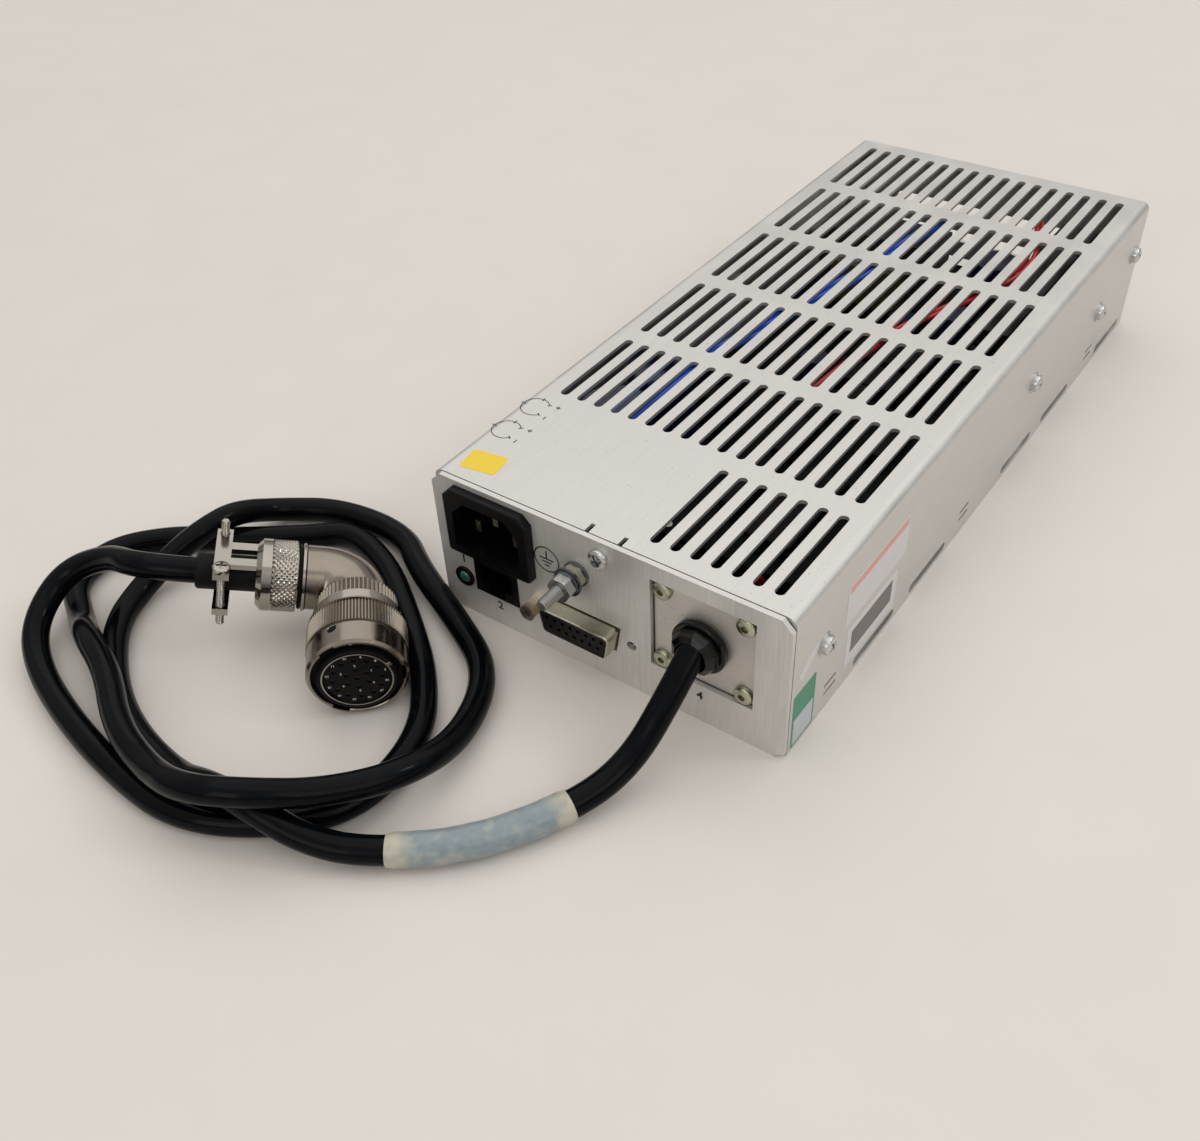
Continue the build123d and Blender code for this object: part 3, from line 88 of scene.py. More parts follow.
@dataclass(frozen=True)
class Finish:
    """One finish: its colour, its gloss and the unevenness that real stock has.

    Attributes:
        name: the material's name.
        color: linear base colour.
        slot: the record's material slot it belongs to; not used.
        metallic: 1 for bare or plated metal.
        roughness: mean roughness.
        roughness_spread: how far the roughness wanders either way.
        mottle: share by which the colour wanders either way.
        grain: direction of the fine grain.
        grain_scale: grains per metre.
        blotch_scale: soft blotches per metre.
        bump: depth of the grain, in metres.
        coat: clear coat weight.
        speckle: share of the surface under small dark specks.
        transmission: light that goes through.
        subsurface: weight of the scattering below the surface.
        ior: refractive index.
        anisotropic: stretch of the highlight across the grain.
        specular: strength of the mirror-like part, 0.5 for ordinary stuff.
    """

    name: str
    color: Color
    slot: str
    metallic: float = 0.0
    roughness: float = 0.45
    roughness_spread: float = 0.08
    mottle: float = 0.06
    grain: Grain = Grain.NONE
    grain_scale: float = 2500.0
    blotch_scale: float = 60.0
    bump: float = 0.00001
    coat: float = 0.0
    speckle: float = 0.0
    transmission: float = 0.0
    subsurface: float = 0.0
    ior: float = 1.5
    anisotropic: float = 0.0
    specular: float = 0.5

    def material(self) -> bpy.types.Material:
        """Return the finish's material, made on first use."""
        name = f"{self.name}_finish"
        made = bpy.data.materials.get(name)
        if made is None:
            made = bpy.data.materials.new(name)
            made.use_nodes = True
            self._wire(made.node_tree)
        return made

    def _wire(self, tree: bpy.types.NodeTree) -> None:
        """Lay out the nodes.

        Args:
            tree: the new material's node tree.
        """
        shader = tree.nodes["Principled BSDF"]
        shader.inputs["Metallic"].default_value = self.metallic
        shader.inputs["Coat Weight"].default_value = self.coat
        shader.inputs["Coat Roughness"].default_value = 0.12
        shader.inputs["Transmission Weight"].default_value = self.transmission
        shader.inputs["Subsurface Weight"].default_value = self.subsurface
        shader.inputs["Subsurface Radius"].default_value = (0.004, 0.004, 0.004)
        shader.inputs["IOR"].default_value = self.ior
        shader.inputs["Anisotropic"].default_value = self.anisotropic
        shader.inputs["Specular IOR Level"].default_value = self.specular
        place = tree.nodes.new("ShaderNodeTexCoord").outputs["Object"]
        grain = self._noise(tree, place, self.grain_scale, self.grain.value, 3.0)
        blotch = self._noise(tree, place, self.blotch_scale, (1.0, 1.0, 1.0), 4.0)
        color = self._color(tree, grain, blotch)
        if self.speckle:
            color = self._specks(tree, place, color)
        tree.links.new(color, shader.inputs["Base Color"])
        rough = tree.nodes.new("ShaderNodeMapRange")
        rough.inputs["From Min"].default_value = 0.3
        rough.inputs["From Max"].default_value = 0.7
        rough.inputs["To Min"].default_value = max(0.02, self.roughness - self.roughness_spread)
        rough.inputs["To Max"].default_value = min(1.0, self.roughness + self.roughness_spread)
        tree.links.new(blotch, rough.inputs["Value"])
        tree.links.new(rough.outputs["Result"], shader.inputs["Roughness"])
        bump = tree.nodes.new("ShaderNodeBump")
        bump.inputs["Strength"].default_value = 1.0
        bump.inputs["Distance"].default_value = self.bump
        tree.links.new(grain, bump.inputs["Height"])
        tree.links.new(bump.outputs["Normal"], shader.inputs["Normal"])

    @staticmethod
    def _noise(tree: bpy.types.NodeTree, place: bpy.types.NodeSocket, scale: float,
               stretch: Sequence[float], detail: float) -> bpy.types.NodeSocket:
        """Add a noise in the object's own space.

        Args:
            tree: the node tree.
            place: the coordinates.
            scale: features per metre.
            stretch: scale of each axis.
            detail: octaves of the noise.

        Returns:
            The noise's value, about 0.3 to 0.7.
        """
        spread = tree.nodes.new("ShaderNodeMapping")
        spread.inputs["Scale"].default_value = stretch
        tree.links.new(place, spread.inputs["Vector"])
        noise = tree.nodes.new("ShaderNodeTexNoise")
        noise.inputs["Scale"].default_value = scale
        noise.inputs["Detail"].default_value = detail
        tree.links.new(spread.outputs["Vector"], noise.inputs["Vector"])
        return noise.outputs["Fac"]

    def _color(self, tree: bpy.types.NodeTree, grain: bpy.types.NodeSocket,
               blotch: bpy.types.NodeSocket) -> bpy.types.NodeSocket:
        """Let the colour wander with the grain and the blotches.

        Args:
            tree: the node tree.
            grain: fine noise.
            blotch: soft noise.

        Returns:
            The colour socket.
        """
        both = tree.nodes.new("ShaderNodeMath")
        both.operation = "ADD"
        tree.links.new(grain, both.inputs[0])
        tree.links.new(blotch, both.inputs[1])
        ramp = tree.nodes.new("ShaderNodeValToRGB")
        ramp.color_ramp.elements[0].position = 0.36
        ramp.color_ramp.elements[0].color = (*(c * (1 - self.mottle) for c in self.color), 1.0)
        ramp.color_ramp.elements[1].position = 0.64
        ramp.color_ramp.elements[1].color = (*(min(1.0, c * (1 + self.mottle)) for c in self.color), 1.0)
        half = tree.nodes.new("ShaderNodeMath")
        half.operation = "MULTIPLY"
        half.inputs[1].default_value = 0.5
        tree.links.new(both.outputs[0], half.inputs[0])
        tree.links.new(half.outputs[0], ramp.inputs["Fac"])
        return ramp.outputs["Color"]

    def _specks(self, tree: bpy.types.NodeTree, place: bpy.types.NodeSocket,
                color: bpy.types.NodeSocket) -> bpy.types.NodeSocket:
        """Put small dark specks over the colour.

        Args:
            tree: the node tree.
            place: the coordinates.
            color: the colour so far.

        Returns:
            The speckled colour.
        """
        dots = self._noise(tree, place, 900.0, (1.0, 1.0, 1.0), 1.0)
        edge = tree.nodes.new("ShaderNodeMapRange")
        edge.inputs["From Min"].default_value = 0.74 - self.speckle
        edge.inputs["From Max"].default_value = 0.80 - self.speckle
        tree.links.new(dots, edge.inputs["Value"])
        mix = tree.nodes.new("ShaderNodeMix")
        mix.data_type = "RGBA"
        mix.inputs["B"].default_value = (*(c * 0.7 for c in self.color), 1.0)
        tree.links.new(edge.outputs["Result"], mix.inputs["Factor"])
        tree.links.new(color, mix.inputs["A"])
        return mix.outputs["Result"]


COVER_ALUMINIUM = Finish("cover_aluminium", (0.66, 0.645, 0.62), "case_aluminium", metallic=0.75, roughness=0.42,
                         mottle=0.04, grain=Grain.ALONG_Y, grain_scale=1800, bump=0.000004, speckle=0.02)
PANEL_ALUMINIUM = Finish("panel_aluminium", (0.66, 0.645, 0.615), "panel_aluminium", metallic=0.5, roughness=0.38,
                         mottle=0.09, grain=Grain.ALONG_Z, grain_scale=2600, bump=0.000006, anisotropic=0.4)
PLATE_ALUMINIUM = Finish("plate_aluminium", (0.62, 0.58, 0.53), "plate_aluminium", metallic=0.5, roughness=0.42,
                         mottle=0.07, grain=Grain.ALONG_X, grain_scale=2400, bump=0.000005, speckle=0.03)
ZINC_STEEL = Finish("zinc_steel", (0.62, 0.62, 0.61), "fastener_steel", metallic=1.0, roughness=0.26,
                    mottle=0.10, bump=0.000004)
YELLOW_ZINC = Finish("yellow_zinc", (0.50, 0.50, 0.38), "fastener_steel", metallic=1.0, roughness=0.30,
                     mottle=0.12, bump=0.000004)
WARM_NICKEL = Finish("warm_nickel", (0.80, 0.70, 0.58), "fastener_steel", metallic=1.0, roughness=0.26,
                     mottle=0.15, bump=0.000004)
TINNED_STEEL = Finish("tinned_steel", (0.55, 0.53, 0.42), "fastener_steel", metallic=1.0, roughness=0.24,
                      mottle=0.14, bump=0.000003)
PLUG_NICKEL = Finish("plug_nickel", (0.28, 0.245, 0.205), "plug_metal", metallic=1.0, roughness=0.20,
                     mottle=0.08, blotch_scale=140, bump=0.000004)
BRIGHT_NICKEL = Finish("bright_nickel", (0.38, 0.35, 0.31), "plug_metal", metallic=1.0, roughness=0.14,
                       mottle=0.05, bump=0.000002)
BLACK_MOULDING = Finish("black_moulding", (0.002, 0.002, 0.0025), "black_plastic", roughness=0.36,
                        mottle=0.2, bump=0.000008, specular=0.16)
GLAND_NYLON = Finish("gland_nylon", (0.002, 0.002, 0.002), "black_plastic", roughness=0.16,
                     mottle=0.2, bump=0.000005, specular=0.32)
BLACK_RUBBER = Finish("black_rubber", (0.003, 0.003, 0.003), "black_plastic", roughness=0.55,
                      mottle=0.25, bump=0.00002, grain_scale=1500, specular=0.16)
INSERT_BLACK = Finish("insert_black", (0.002, 0.002, 0.003), "insert_plastic", roughness=0.42, bump=0.00001,
                      specular=0.15)
SOCKET_BLACK = Finish("socket_black", (0.002, 0.002, 0.003), "logic_insulator", roughness=0.42, bump=0.00001,
                      specular=0.15)
# painted shade: the plug's contacts are darkened to the shade of the holes they sit in
CONTACT_PAINTED_SHADE = Finish("contact_painted_shade", (0.05, 0.038, 0.02), "contact_gold", metallic=1.0, roughness=0.4)
TOOTHED_STEEL = Finish("toothed_steel", (0.20, 0.21, 0.23), "fastener_steel", metallic=1.0, roughness=0.3,
                       mottle=0.2, bump=0.00001)
THREAD_STEEL = Finish("thread_steel", (0.36, 0.355, 0.34), "fastener_steel", metallic=1.0, roughness=0.32,
                      mottle=0.2, bump=0.000004)
GOLD_PLATE = Finish("gold_plate", (0.80, 0.56, 0.22), "contact_gold", metallic=1.0, roughness=0.25)
LAMP_LENS = Finish("lamp_lens", (0.03, 0.09, 0.07), "lamp_green", roughness=0.10, coat=0.6, bump=0.000002)
LEAD_SHEATH = Finish("lead_sheath", (0.002, 0.0025, 0.0035), "lead_black", roughness=0.19, roughness_spread=0.06,
                     mottle=0.3, grain_scale=160, blotch_scale=90, bump=0.00010, specular=0.09)
# painted shade: the green of the boards is darkened nearly to black for the shade inside the case
BOARD_GREEN_PAINTED_SHADE = Finish("board_green", (0.0015, 0.0045, 0.003), "board_green", roughness=0.45, mottle=0.3, specular=0.1)
CORE_IRON = Finish("core_iron", (0.06, 0.06, 0.06), "core_iron", metallic=0.4, roughness=0.5, mottle=0.3)
WINDING_TAPE = Finish("winding_tape", (0.11, 0.10, 0.035), "winding_tape", roughness=0.35, mottle=0.15)
COMPONENT_BLACK = Finish("component_black", (0.004, 0.004, 0.0045), "component_black", roughness=0.5, mottle=0.3,
                         specular=0.2)
CAPACITOR_BLUE = Finish("capacitor_blue", (0.01, 0.02, 0.07), "capacitor_blue", roughness=0.28, mottle=0.2)
HEATSINK_BLACK = Finish("heatsink_black", (0.03, 0.03, 0.03), "heatsink_black", metallic=0.6, roughness=0.45,
                        grain=Grain.ALONG_Y)
WIRE_BLUE = Finish("wire_blue", (0.02, 0.10, 0.55), "wire_blue", roughness=0.32, mottle=0.1)
WIRE_RED = Finish("wire_red", (0.50, 0.015, 0.02), "wire_red", roughness=0.32, mottle=0.1)
FUSE_GLASS = Finish("fuse_glass", (0.8, 0.82, 0.82), "fuse_glass", roughness=0.08, transmission=0.8)
TRIMMER_BLUE = Finish("trimmer_blue", (0.02, 0.09, 0.35), "trimmer_blue", roughness=0.35)
PRINT_BLACK = Finish("print_black", (0.012, 0.012, 0.013), "black_plastic", roughness=0.55, mottle=0.3,
                     bump=0.000002)
MARK_WHITE = Finish("mark_white", (0.62, 0.62, 0.60), "insert_plastic", roughness=0.6, bump=0.000002)
STICKER_WHITE = Finish("sticker_white", (0.66, 0.65, 0.65), "case_aluminium", roughness=0.38, mottle=0.02,
                       bump=0.000003)
STICKER_GREY = Finish("sticker_grey", (0.50, 0.53, 0.57), "case_aluminium", roughness=0.35, mottle=0.03,
                      bump=0.000003)
STICKER_BLOCK = Finish("sticker_block", (0.16, 0.155, 0.15), "case_aluminium", roughness=0.5, mottle=0.08,
                       bump=0.000003)
STICKER_GREEN = Finish("sticker_green", (0.01, 0.24, 0.12), "case_aluminium", roughness=0.36, mottle=0.04,
                       bump=0.000003)
STICKER_PINK = Finish("sticker_pink", (0.72, 0.33, 0.30), "case_aluminium", roughness=0.4, mottle=0.10,
                      bump=0.000003)
STICKER_YELLOW = Finish("sticker_yellow", (0.84, 0.60, 0.02), "case_aluminium", roughness=0.32, mottle=0.03,
                        bump=0.000003)

NODE_FINISHES: dict[str, Finish] = {
    "chassis": PANEL_ALUMINIUM, "cover": COVER_ALUMINIUM, "cover_screw_washers": ZINC_STEEL,
    "inlet_housing": BLACK_MOULDING, "inlet_pins": TINNED_STEEL, "gauge_socket": BLACK_MOULDING,
    "gauge_contacts": GOLD_PLATE, "led_bezel": COMPONENT_BLACK, "led_lens": LAMP_LENS,
    "dsub_shell": TINNED_STEEL, "dsub_insulator": SOCKET_BLACK, "dsub_contacts": GOLD_PLATE,
    "dsub_jackpost": WARM_NICKEL, "earth_washers": TOOTHED_STEEL, "earth_inner_nut": TINNED_STEEL,
    "earth_outer_nut": ZINC_STEEL, "gland_plate": PLATE_ALUMINIUM, "plate_bracket": PLATE_ALUMINIUM,
    "gland_nut": BLACK_MOULDING, "plug_elbow": PLUG_NICKEL,
    "plug_shell": BRIGHT_NICKEL, "plug_insert": INSERT_BLACK, "plug_contacts": CONTACT_PAINTED_SHADE,
    "clamp_yoke": BRIGHT_NICKEL, "clamp_saddle": BRIGHT_NICKEL, "clamp_bushing": BLACK_RUBBER,
    "main_board": BOARD_GREEN_PAINTED_SHADE, "board_standoffs": TINNED_STEEL, "board_screws": ZINC_STEEL,
    "transformer_core": CORE_IRON, "transformer_winding": WINDING_TAPE, "bulk_capacitors": CAPACITOR_BLUE,
    "filter_choke": COMPONENT_BLACK, "fuse_clips": TINNED_STEEL, "fuse": FUSE_GLASS,
    "heatsink": HEATSINK_BLACK, "power_transistors": COMPONENT_BLACK, "control_board": BOARD_GREEN_PAINTED_SHADE,
    "control_posts": TINNED_STEEL, "control_chips": COMPONENT_BLACK, "relays": COMPONENT_BLACK,
    "small_capacitors": CAPACITOR_BLUE, "trimmer_board": BOARD_GREEN_PAINTED_SHADE, "trimmer_housings": TRIMMER_BLUE,
    "setpoint_rotor": GOLD_PLATE, "timer_rotor": GOLD_PLATE, "mains_wires": WIRE_BLUE, "pump_wires": WIRE_RED,
}


# ---- shaping helpers ---------------------------------------------------------------------------


@dataclass(frozen=True)
class Spindle:
    """An axis that pieces are turned about.

    Attributes:
        origin: point on the axis, in metres.
        along: unit direction of the axis.
        side: a direction across it, from which angles are counted.
    """

    origin: Vector
    along: Vector
    side: Vector

    def point(self, distance: float, radius: float, angle: float) -> Vector:
        """Give the point at a distance along the axis, a radius and an angle, all in metres and radians."""
        across = self.side.normalized()
        third = self.along.cross(across)
        return self.origin + self.along * distance + (across * math.cos(angle) + third * math.sin(angle)) * radius


def finished(mesh: bmesh.types.BMesh, name: str, finish: Finish, body: str, sharp_deg: float = 35.0,
             replaces: Iterable[str] = ()) -> bpy.types.Object:
    """Turn a mesh into a piece that rides on a body.

    Args:
        mesh: the shape; it is freed.
        name: the piece's name.
        finish: what it is made of.
        body: the CAD body that it moves with.
        sharp_deg: edges that turn by more than this stay sharp.
        replaces: CAD nodes that it stands for.

    Returns:
        The new object.
    """
    bmesh.ops.recalc_face_normals(mesh, faces=mesh.faces)
    data = bpy.data.meshes.new(name)
    mesh.to_mesh(data)
    mesh.free()
    data.shade_smooth()
    data.set_sharp_from_angle(angle=math.radians(sharp_deg))
    piece = bpy.data.objects.new(name, data)
    bpy.context.scene.collection.objects.link(piece)
    data.materials.append(finish.material())
    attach(piece, body)
    nodes = tuple(replaces)
    if nodes:
        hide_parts(*nodes)
    LOG.info("made %s", name)
    return piece


def turn_profile(mesh: bmesh.types.BMesh, spindle: Spindle, profile: Sequence[tuple[float, float]],
                 segments: int, relief: Optional[Relief] = None, ring: bool = False) -> None:
    """Turn a profile about an axis, with an optional relief on its radius.

    Args:
        mesh: where the faces go.
        spindle: the axis.
        profile: distances along the axis and radii, in metres.
        segments: facets round the axis.
        relief: what is added to the radius at an angle, a distance and a radius.
        ring: join the last point to the first; otherwise the ends are capped.
    """
    rows = []
    for distance, radius in profile:
        row = []
        for i in range(segments):
            angle = TURN * i / segments
            r = radius + (relief(angle, distance, radius) if relief else 0.0)
            row.append(mesh.verts.new(spindle.point(distance, r, angle)))
        rows.append(row)
    pairs = list(zip(rows, rows[1:]))
    if ring:
        pairs.append((rows[-1], rows[0]))
    else:
        mesh.faces.new(rows[0])
        mesh.faces.new(list(reversed(rows[-1])))
    for low, high in pairs:
        for i in range(segments):
            j = (i + 1) % segments
            mesh.faces.new((low[i], low[j], high[j], high[i]))


def steps(start: float, end: float, spacing: float) -> list[float]:
    """Divide a stretch into even steps no longer than a spacing, both ends included."""
    count = max(1, math.ceil(abs(end - start) / spacing))
    return [start + (end - start) * i / count for i in range(count + 1)]


def zigzag(phase: float) -> float:
    """Give a triangle wave, 0 at whole numbers and 1 half way between them."""
    return 1.0 - abs(2.0 * (phase % 1.0) - 1.0)


def thread_relief(pitch: float, depth: float, start: float, end: float) -> Relief:
    """Make the relief of a screw thread.

    Args:
        pitch: distance from crest to crest, in metres.
        depth: how deep the thread is cut.
        start: where it begins on the axis.
        end: where it ends.

    Returns:
        The relief, zero at the crests.
    """

    def relief(angle: float, distance: float, _radius: float) -> float:
        if not start <= distance <= end:
            return 0.0
        return -depth * (1.0 - zigzag(distance / pitch - angle / TURN))

    return relief


def islands(node: str) -> list[tuple[Vector, Vector]]:
    """Find the separate solids of a CAD node.

    Args:
        node: the node's name.

    Returns:
        Lowest and highest corner of each solid, ordered by place.
    """
    shape = bmesh.new()
    shape.from_mesh(bpy.data.objects[node].data)
    bmesh.ops.remove_doubles(shape, verts=shape.verts, dist=1e-6)
    seen: set[int] = set()
    boxes = []
    shape.verts.ensure_lookup_table()
    for first in shape.verts:
        if first.index in seen:
            continue
        seen.add(first.index)
        heap, group = [first], []
        while heap:
            vert = heap.pop()
            group.append(vert.co)
            for edge in vert.link_edges:
                other = edge.other_vert(vert)
                if other.index not in seen:
                    seen.add(other.index)
                    heap.append(other)
        low = Vector([min(co[k] for co in group) for k in range(3)])
        high = Vector([max(co[k] for co in group) for k in range(3)])
        boxes.append((low, high))
    shape.free()
    return sorted(boxes, key=lambda b: tuple(round(c, 4) for c in b[0]))


class Recess(Enum):
    """What is cut into a screw head."""

    CROSS = "cross"
    HEX = "hex"


@dataclass(frozen=True)
class ScrewHead:
    """A domed screw head with a recess, as a raised disc.

    Attributes:
        radius: of the head, in metres.
        height: of the dome.
        recess: the driver it takes.
        reach: half the recess's width across.
        depth: of the recess.
        arm: half the width of a cross's arm.
        bore: radius of the screw below the head.
        length: of the screw below the head.
    """

    radius: float
    height: float
    recess: Recess
    reach: float
    depth: float
    arm: float = 0.00035
    bore: float = 0.0014
    length: float = 0.004

    def build(self, mesh: bmesh.types.BMesh, seat: Spindle) -> None:
        """Add one head to a mesh.

        Args:
            mesh: where the faces go.
            seat: the screw's axis, with its origin on the seat and pointing out of the head.
        """
        rings, around = 26, 96
        rows = []
        for k in range(1, rings + 1):
            radius = self.radius * k / rings
            row = []
            for i in range(around):
                angle = TURN * i / around
                row.append(mesh.verts.new(seat.point(self._height(radius, angle), radius, angle)))
            rows.append(row)
        center = mesh.verts.new(seat.point(self._height(0.0, 0.0), 0.0, 0.0))
        for i in range(around):
            mesh.faces.new((center, rows[0][i], rows[0][(i + 1) % around]))
        for low, high in zip(rows, rows[1:]):
            for i in range(around):
                j = (i + 1) % around
                mesh.faces.new((low[i], high[i], high[j], low[j]))
        skirt = [mesh.verts.new(seat.point(0.0, self.radius, TURN * i / around)) for i in range(around)]
        for i in range(around):
            j = (i + 1) % around
            mesh.faces.new((rows[-1][i], skirt[i], skirt[j], rows[-1][j]))
        mesh.faces.new(list(reversed(skirt)))
        turn_profile(mesh, seat, [(0.0, self.bore), (-self.length, self.bore)], 24)

    def _height(self, radius: float, angle: float) -> float:
        """Height of the head over its seat at a radius and an angle."""
        share = radius / self.radius
        dome = self.height * (0.55 + 0.45 * math.sqrt(max(0.0, 1.0 - share**2.4)))
        return dome - (self.depth if self._in_recess(radius, angle) else 0.0)

    def _in_recess(self, radius: float, angle: float) -> bool:
        """Tell whether a point lies in the recess."""
        if self.recess is Recess.HEX:
            sector = (angle % (TURN / 6)) - TURN / 12
            return radius * math.cos(sector) < self.reach
        x, y = abs(radius * math.cos(angle)), abs(radius * math.sin(angle))
        return max(x, y) < self.reach and min(x, y) < self.arm


class Sheet:
    """A thin layer of ink or film on a flat face, drawn in the face's own two directions."""

    def __init__(self, origin: Vector, right: Vector, up: Vector, thickness: float) -> None:
        """Start an empty layer.

        Args:
            origin: point on the face.
            right: unit direction of the drawing's x.
            up: unit direction of the drawing's y.
            thickness: of the layer, in metres.
        """
        self.origin = origin
        self.right = right
        self.up = up
        self.normal = right.cross(up)
        self.thickness = thickness
        self.mesh = bmesh.new()

    def _slab(self, outline: Sequence[tuple[float, float]]) -> None:
        """Add a flat slab with a convex outline in millimetres."""
        low, high = [], []
        for x, y in outline:
            foot = self.origin + self.right * x * MM + self.up * y * MM
            low.append(self.mesh.verts.new(foot))
            high.append(self.mesh.verts.new(foot + self.normal * self.thickness))
        self.mesh.faces.new(high)
        self.mesh.faces.new(list(reversed(low)))
        for i in range(len(low)):
            j = (i + 1) % len(low)
            self.mesh.faces.new((low[i], low[j], high[j], high[i]))

    def bar(self, x: float, y: float, width: float, height: float, tilt_deg: float = 0.0) -> None:
        """Add a bar round a centre, in millimetres."""
        c, s = math.cos(math.radians(tilt_deg)), math.sin(math.radians(tilt_deg))
        corners = [(-1, -1), (1, -1), (1, 1), (-1, 1)]
        self._slab([(x + c * u * width / 2 - s * v * height / 2, y + s * u * width / 2 + c * v * height / 2)
                    for u, v in corners])

    def card(self, x: float, y: float, width: float, height: float, corner: float, tilt_deg: float = 0.0) -> None:
        """Add a rectangle with round corners, in millimetres."""
        outline = []
        c, s = math.cos(math.radians(tilt_deg)), math.sin(math.radians(tilt_deg))
        for quarter, (u, v) in enumerate([(1, 1), (-1, 1), (-1, -1), (1, -1)]):
            for i in range(5):
                angle = TURN / 4 * (quarter + i / 4)
                px = u * (width / 2 - corner) + corner * math.cos(angle)
                py = v * (height / 2 - corner) + corner * math.sin(angle)
                outline.append((x + c * px - s * py, y + s * px + c * py))
        self._slab(outline)

    def arc(self, x: float, y: float, radius: float, width: float, start_deg: float, end_deg: float) -> None:
        """Add a stretch of a ring, in millimetres and degrees."""
        angles = steps(math.radians(start_deg), math.radians(end_deg), TURN / 60)
        for a, b in zip(angles, angles[1:]):
            inner, outer = radius - width / 2, radius + width / 2
            self._slab([(x + r * math.cos(t), y + r * math.sin(t))
                        for r, t in ((inner, a), (outer, a), (outer, b), (inner, b))])

    def numeral(self, text: str, x: float, y: float, height: float, turn_deg: float = 0.0) -> None:
        """Add a plain number, in millimetres.

        Args:
            text: the digits.
            x: centre across.
            y: centre up.
            height: of the digits.
            turn_deg: how far they are turned.
        """
        letters = bpy.data.curves.new("digits", "FONT")
        letters.body = text
        letters.size = height * 1.4 * MM
        letters.align_x = "CENTER"
        letters.align_y = "CENTER"
        letters.extrude = self.thickness / 2
        letters.offset = height * 0.035 * MM
        letters.resolution_u = 3
        writer = bpy.data.objects.new("digits", letters)
        bpy.context.scene.collection.objects.link(writer)
        flat = bpy.data.meshes.new_from_object(writer)
        turned = Matrix.Rotation(math.radians(turn_deg), 4, "Z")
        onto = Matrix((self.right, self.up, self.normal)).transposed().to_4x4()
        onto.translation = self.origin + self.right * x * MM + self.up * y * MM + self.normal * self.thickness / 2
        flat.transform(onto @ turned)
        self.mesh.from_mesh(flat)
        bpy.data.objects.remove(writer)
        bpy.data.curves.remove(letters)
        bpy.data.meshes.remove(flat)

    def piece(self, name: str, finish: Finish, body: str = CASE) -> bpy.types.Object:
        """Finish the layer as a piece."""
        return finished(self.mesh, name, finish, body)


# ---- studio --------------------------------------------------------------------------------------


@dataclass
class Studio:
    """Pale floor, soft light and the camera.

    Attributes:
        camera_at: the camera's place, in metres.
        camera_deg: its turn about X, Y and Z.
        lens: focal length on a 36 mm wide sensor.
        floor_color: colour of the bench.
        horizon: fill light near the horizon.
        middle: fill light a third of the way up.
        zenith: fill light overhead.
    """

    camera_at: Vector = field(default_factory=lambda: Vector((0.1590, -0.3431, 0.2683)))
    camera_deg: tuple[float, float, float] = (48.74, 2.37, 35.57)
    lens: float = 37.76
    floor_color: Color = (0.73, 0.685, 0.635)
    horizon: Color = (0.14, 0.143, 0.15)
    middle: Color = (0.50, 0.49, 0.475)
    zenith: Color = (0.78, 0.77, 0.75)

    def build(self) -> None:
        """Make the camera, the lights and the floor."""
        self._camera()
        self._world()
        self._light("overhead", Vector((-0.2, 0.5, 1.7)), 3.0, 16.0, (1.0, 0.985, 0.96))
        self._light("side", Vector((1.3, -0.5, 0.9)), 0.8, 2.2, (1.0, 0.97, 0.94))
        self._light("front", Vector((0.1, -1.7, 0.7)), 0.8, 3.0, (1.0, 0.97, 0.94))
        self._light("window", Vector((1.0, 0.5, 1.0)), 0.22, 1.8, (0.80, 0.89, 1.0))
        self._floor()

    def _camera(self) -> None:
        """Place the camera."""
        data = bpy.data.cameras.new("camera")
        data.lens = self.lens
        data.sensor_width = 36.0
        data.clip_start = 0.01
        camera = bpy.data.objects.new("camera", data)
        camera.location = self.camera_at
        camera.rotation_euler = [math.radians(a) for a in self.camera_deg]
        bpy.context.scene.collection.objects.link(camera)
        bpy.context.scene.camera = camera
        bpy.context.scene.view_settings.view_transform = "Standard"

    def _world(self) -> None:
        """Give a soft fill that is dimmer towards the horizon."""
        world = bpy.data.worlds.new("studio")
        bpy.context.scene.world = world
        world.use_nodes = True
        tree = world.node_tree
        direction = tree.nodes.new("ShaderNodeTexCoord")
        split = tree.nodes.new("ShaderNodeSeparateXYZ")
        ramp = tree.nodes.new("ShaderNodeValToRGB")
        ramp.color_ramp.elements[0].color = (*self.horizon, 1.0)
        ramp.color_ramp.elements[0].position = 0.08
        ramp.color_ramp.elements[1].color = (*self.zenith, 1.0)
        middle = ramp.color_ramp.elements.new(0.34)
        middle.color = (*self.middle, 1.0)
        tree.links.new(direction.outputs["Generated"], split.inputs["Vector"])
        tree.links.new(split.outputs["Z"], ramp.inputs["Fac"])
        tree.links.new(ramp.outputs["Color"], tree.nodes["Background"].inputs["Color"])

    @staticmethod
    def _light(name: str, at: Vector, size: float, watts: float, color: Color) -> None:
        """Add a square soft light that faces the object.

        Args:
            name: the light's name.
            at: its place.
            size: its side.
            watts: its power.
            color: its tint.
        """
        data = bpy.data.lights.new(name, "AREA")
        data.size = size
        data.energy = watts
        data.color = color
        lamp = bpy.data.objects.new(name, data)
        lamp.location = at
        lamp.rotation_euler = at.to_track_quat("Z", "Y").to_euler()
        bpy.context.scene.collection.objects.link(lamp)

    def _floor(self) -> None:
        """Lay the bench top."""
        half = 6.0
        mesh = bmesh.new()
        corners = [mesh.verts.new((x * half, y * half, 0.0)) for x, y in ((-1, -1), (1, -1), (1, 1), (-1, 1))]
        mesh.faces.new(corners)
        data = bpy.data.meshes.new("bench")
        mesh.to_mesh(data)
        mesh.free()
        bench = bpy.data.objects.new("bench", data)
        bpy.context.scene.collection.objects.link(bench)
        finish = Finish("bench_top", self.floor_color, "", roughness=0.6, mottle=0.015, grain_scale=30,
                        blotch_scale=3, bump=0.0)
        data.materials.append(finish.material())


# ---- lead ------------------------------------------------------------------------------------------


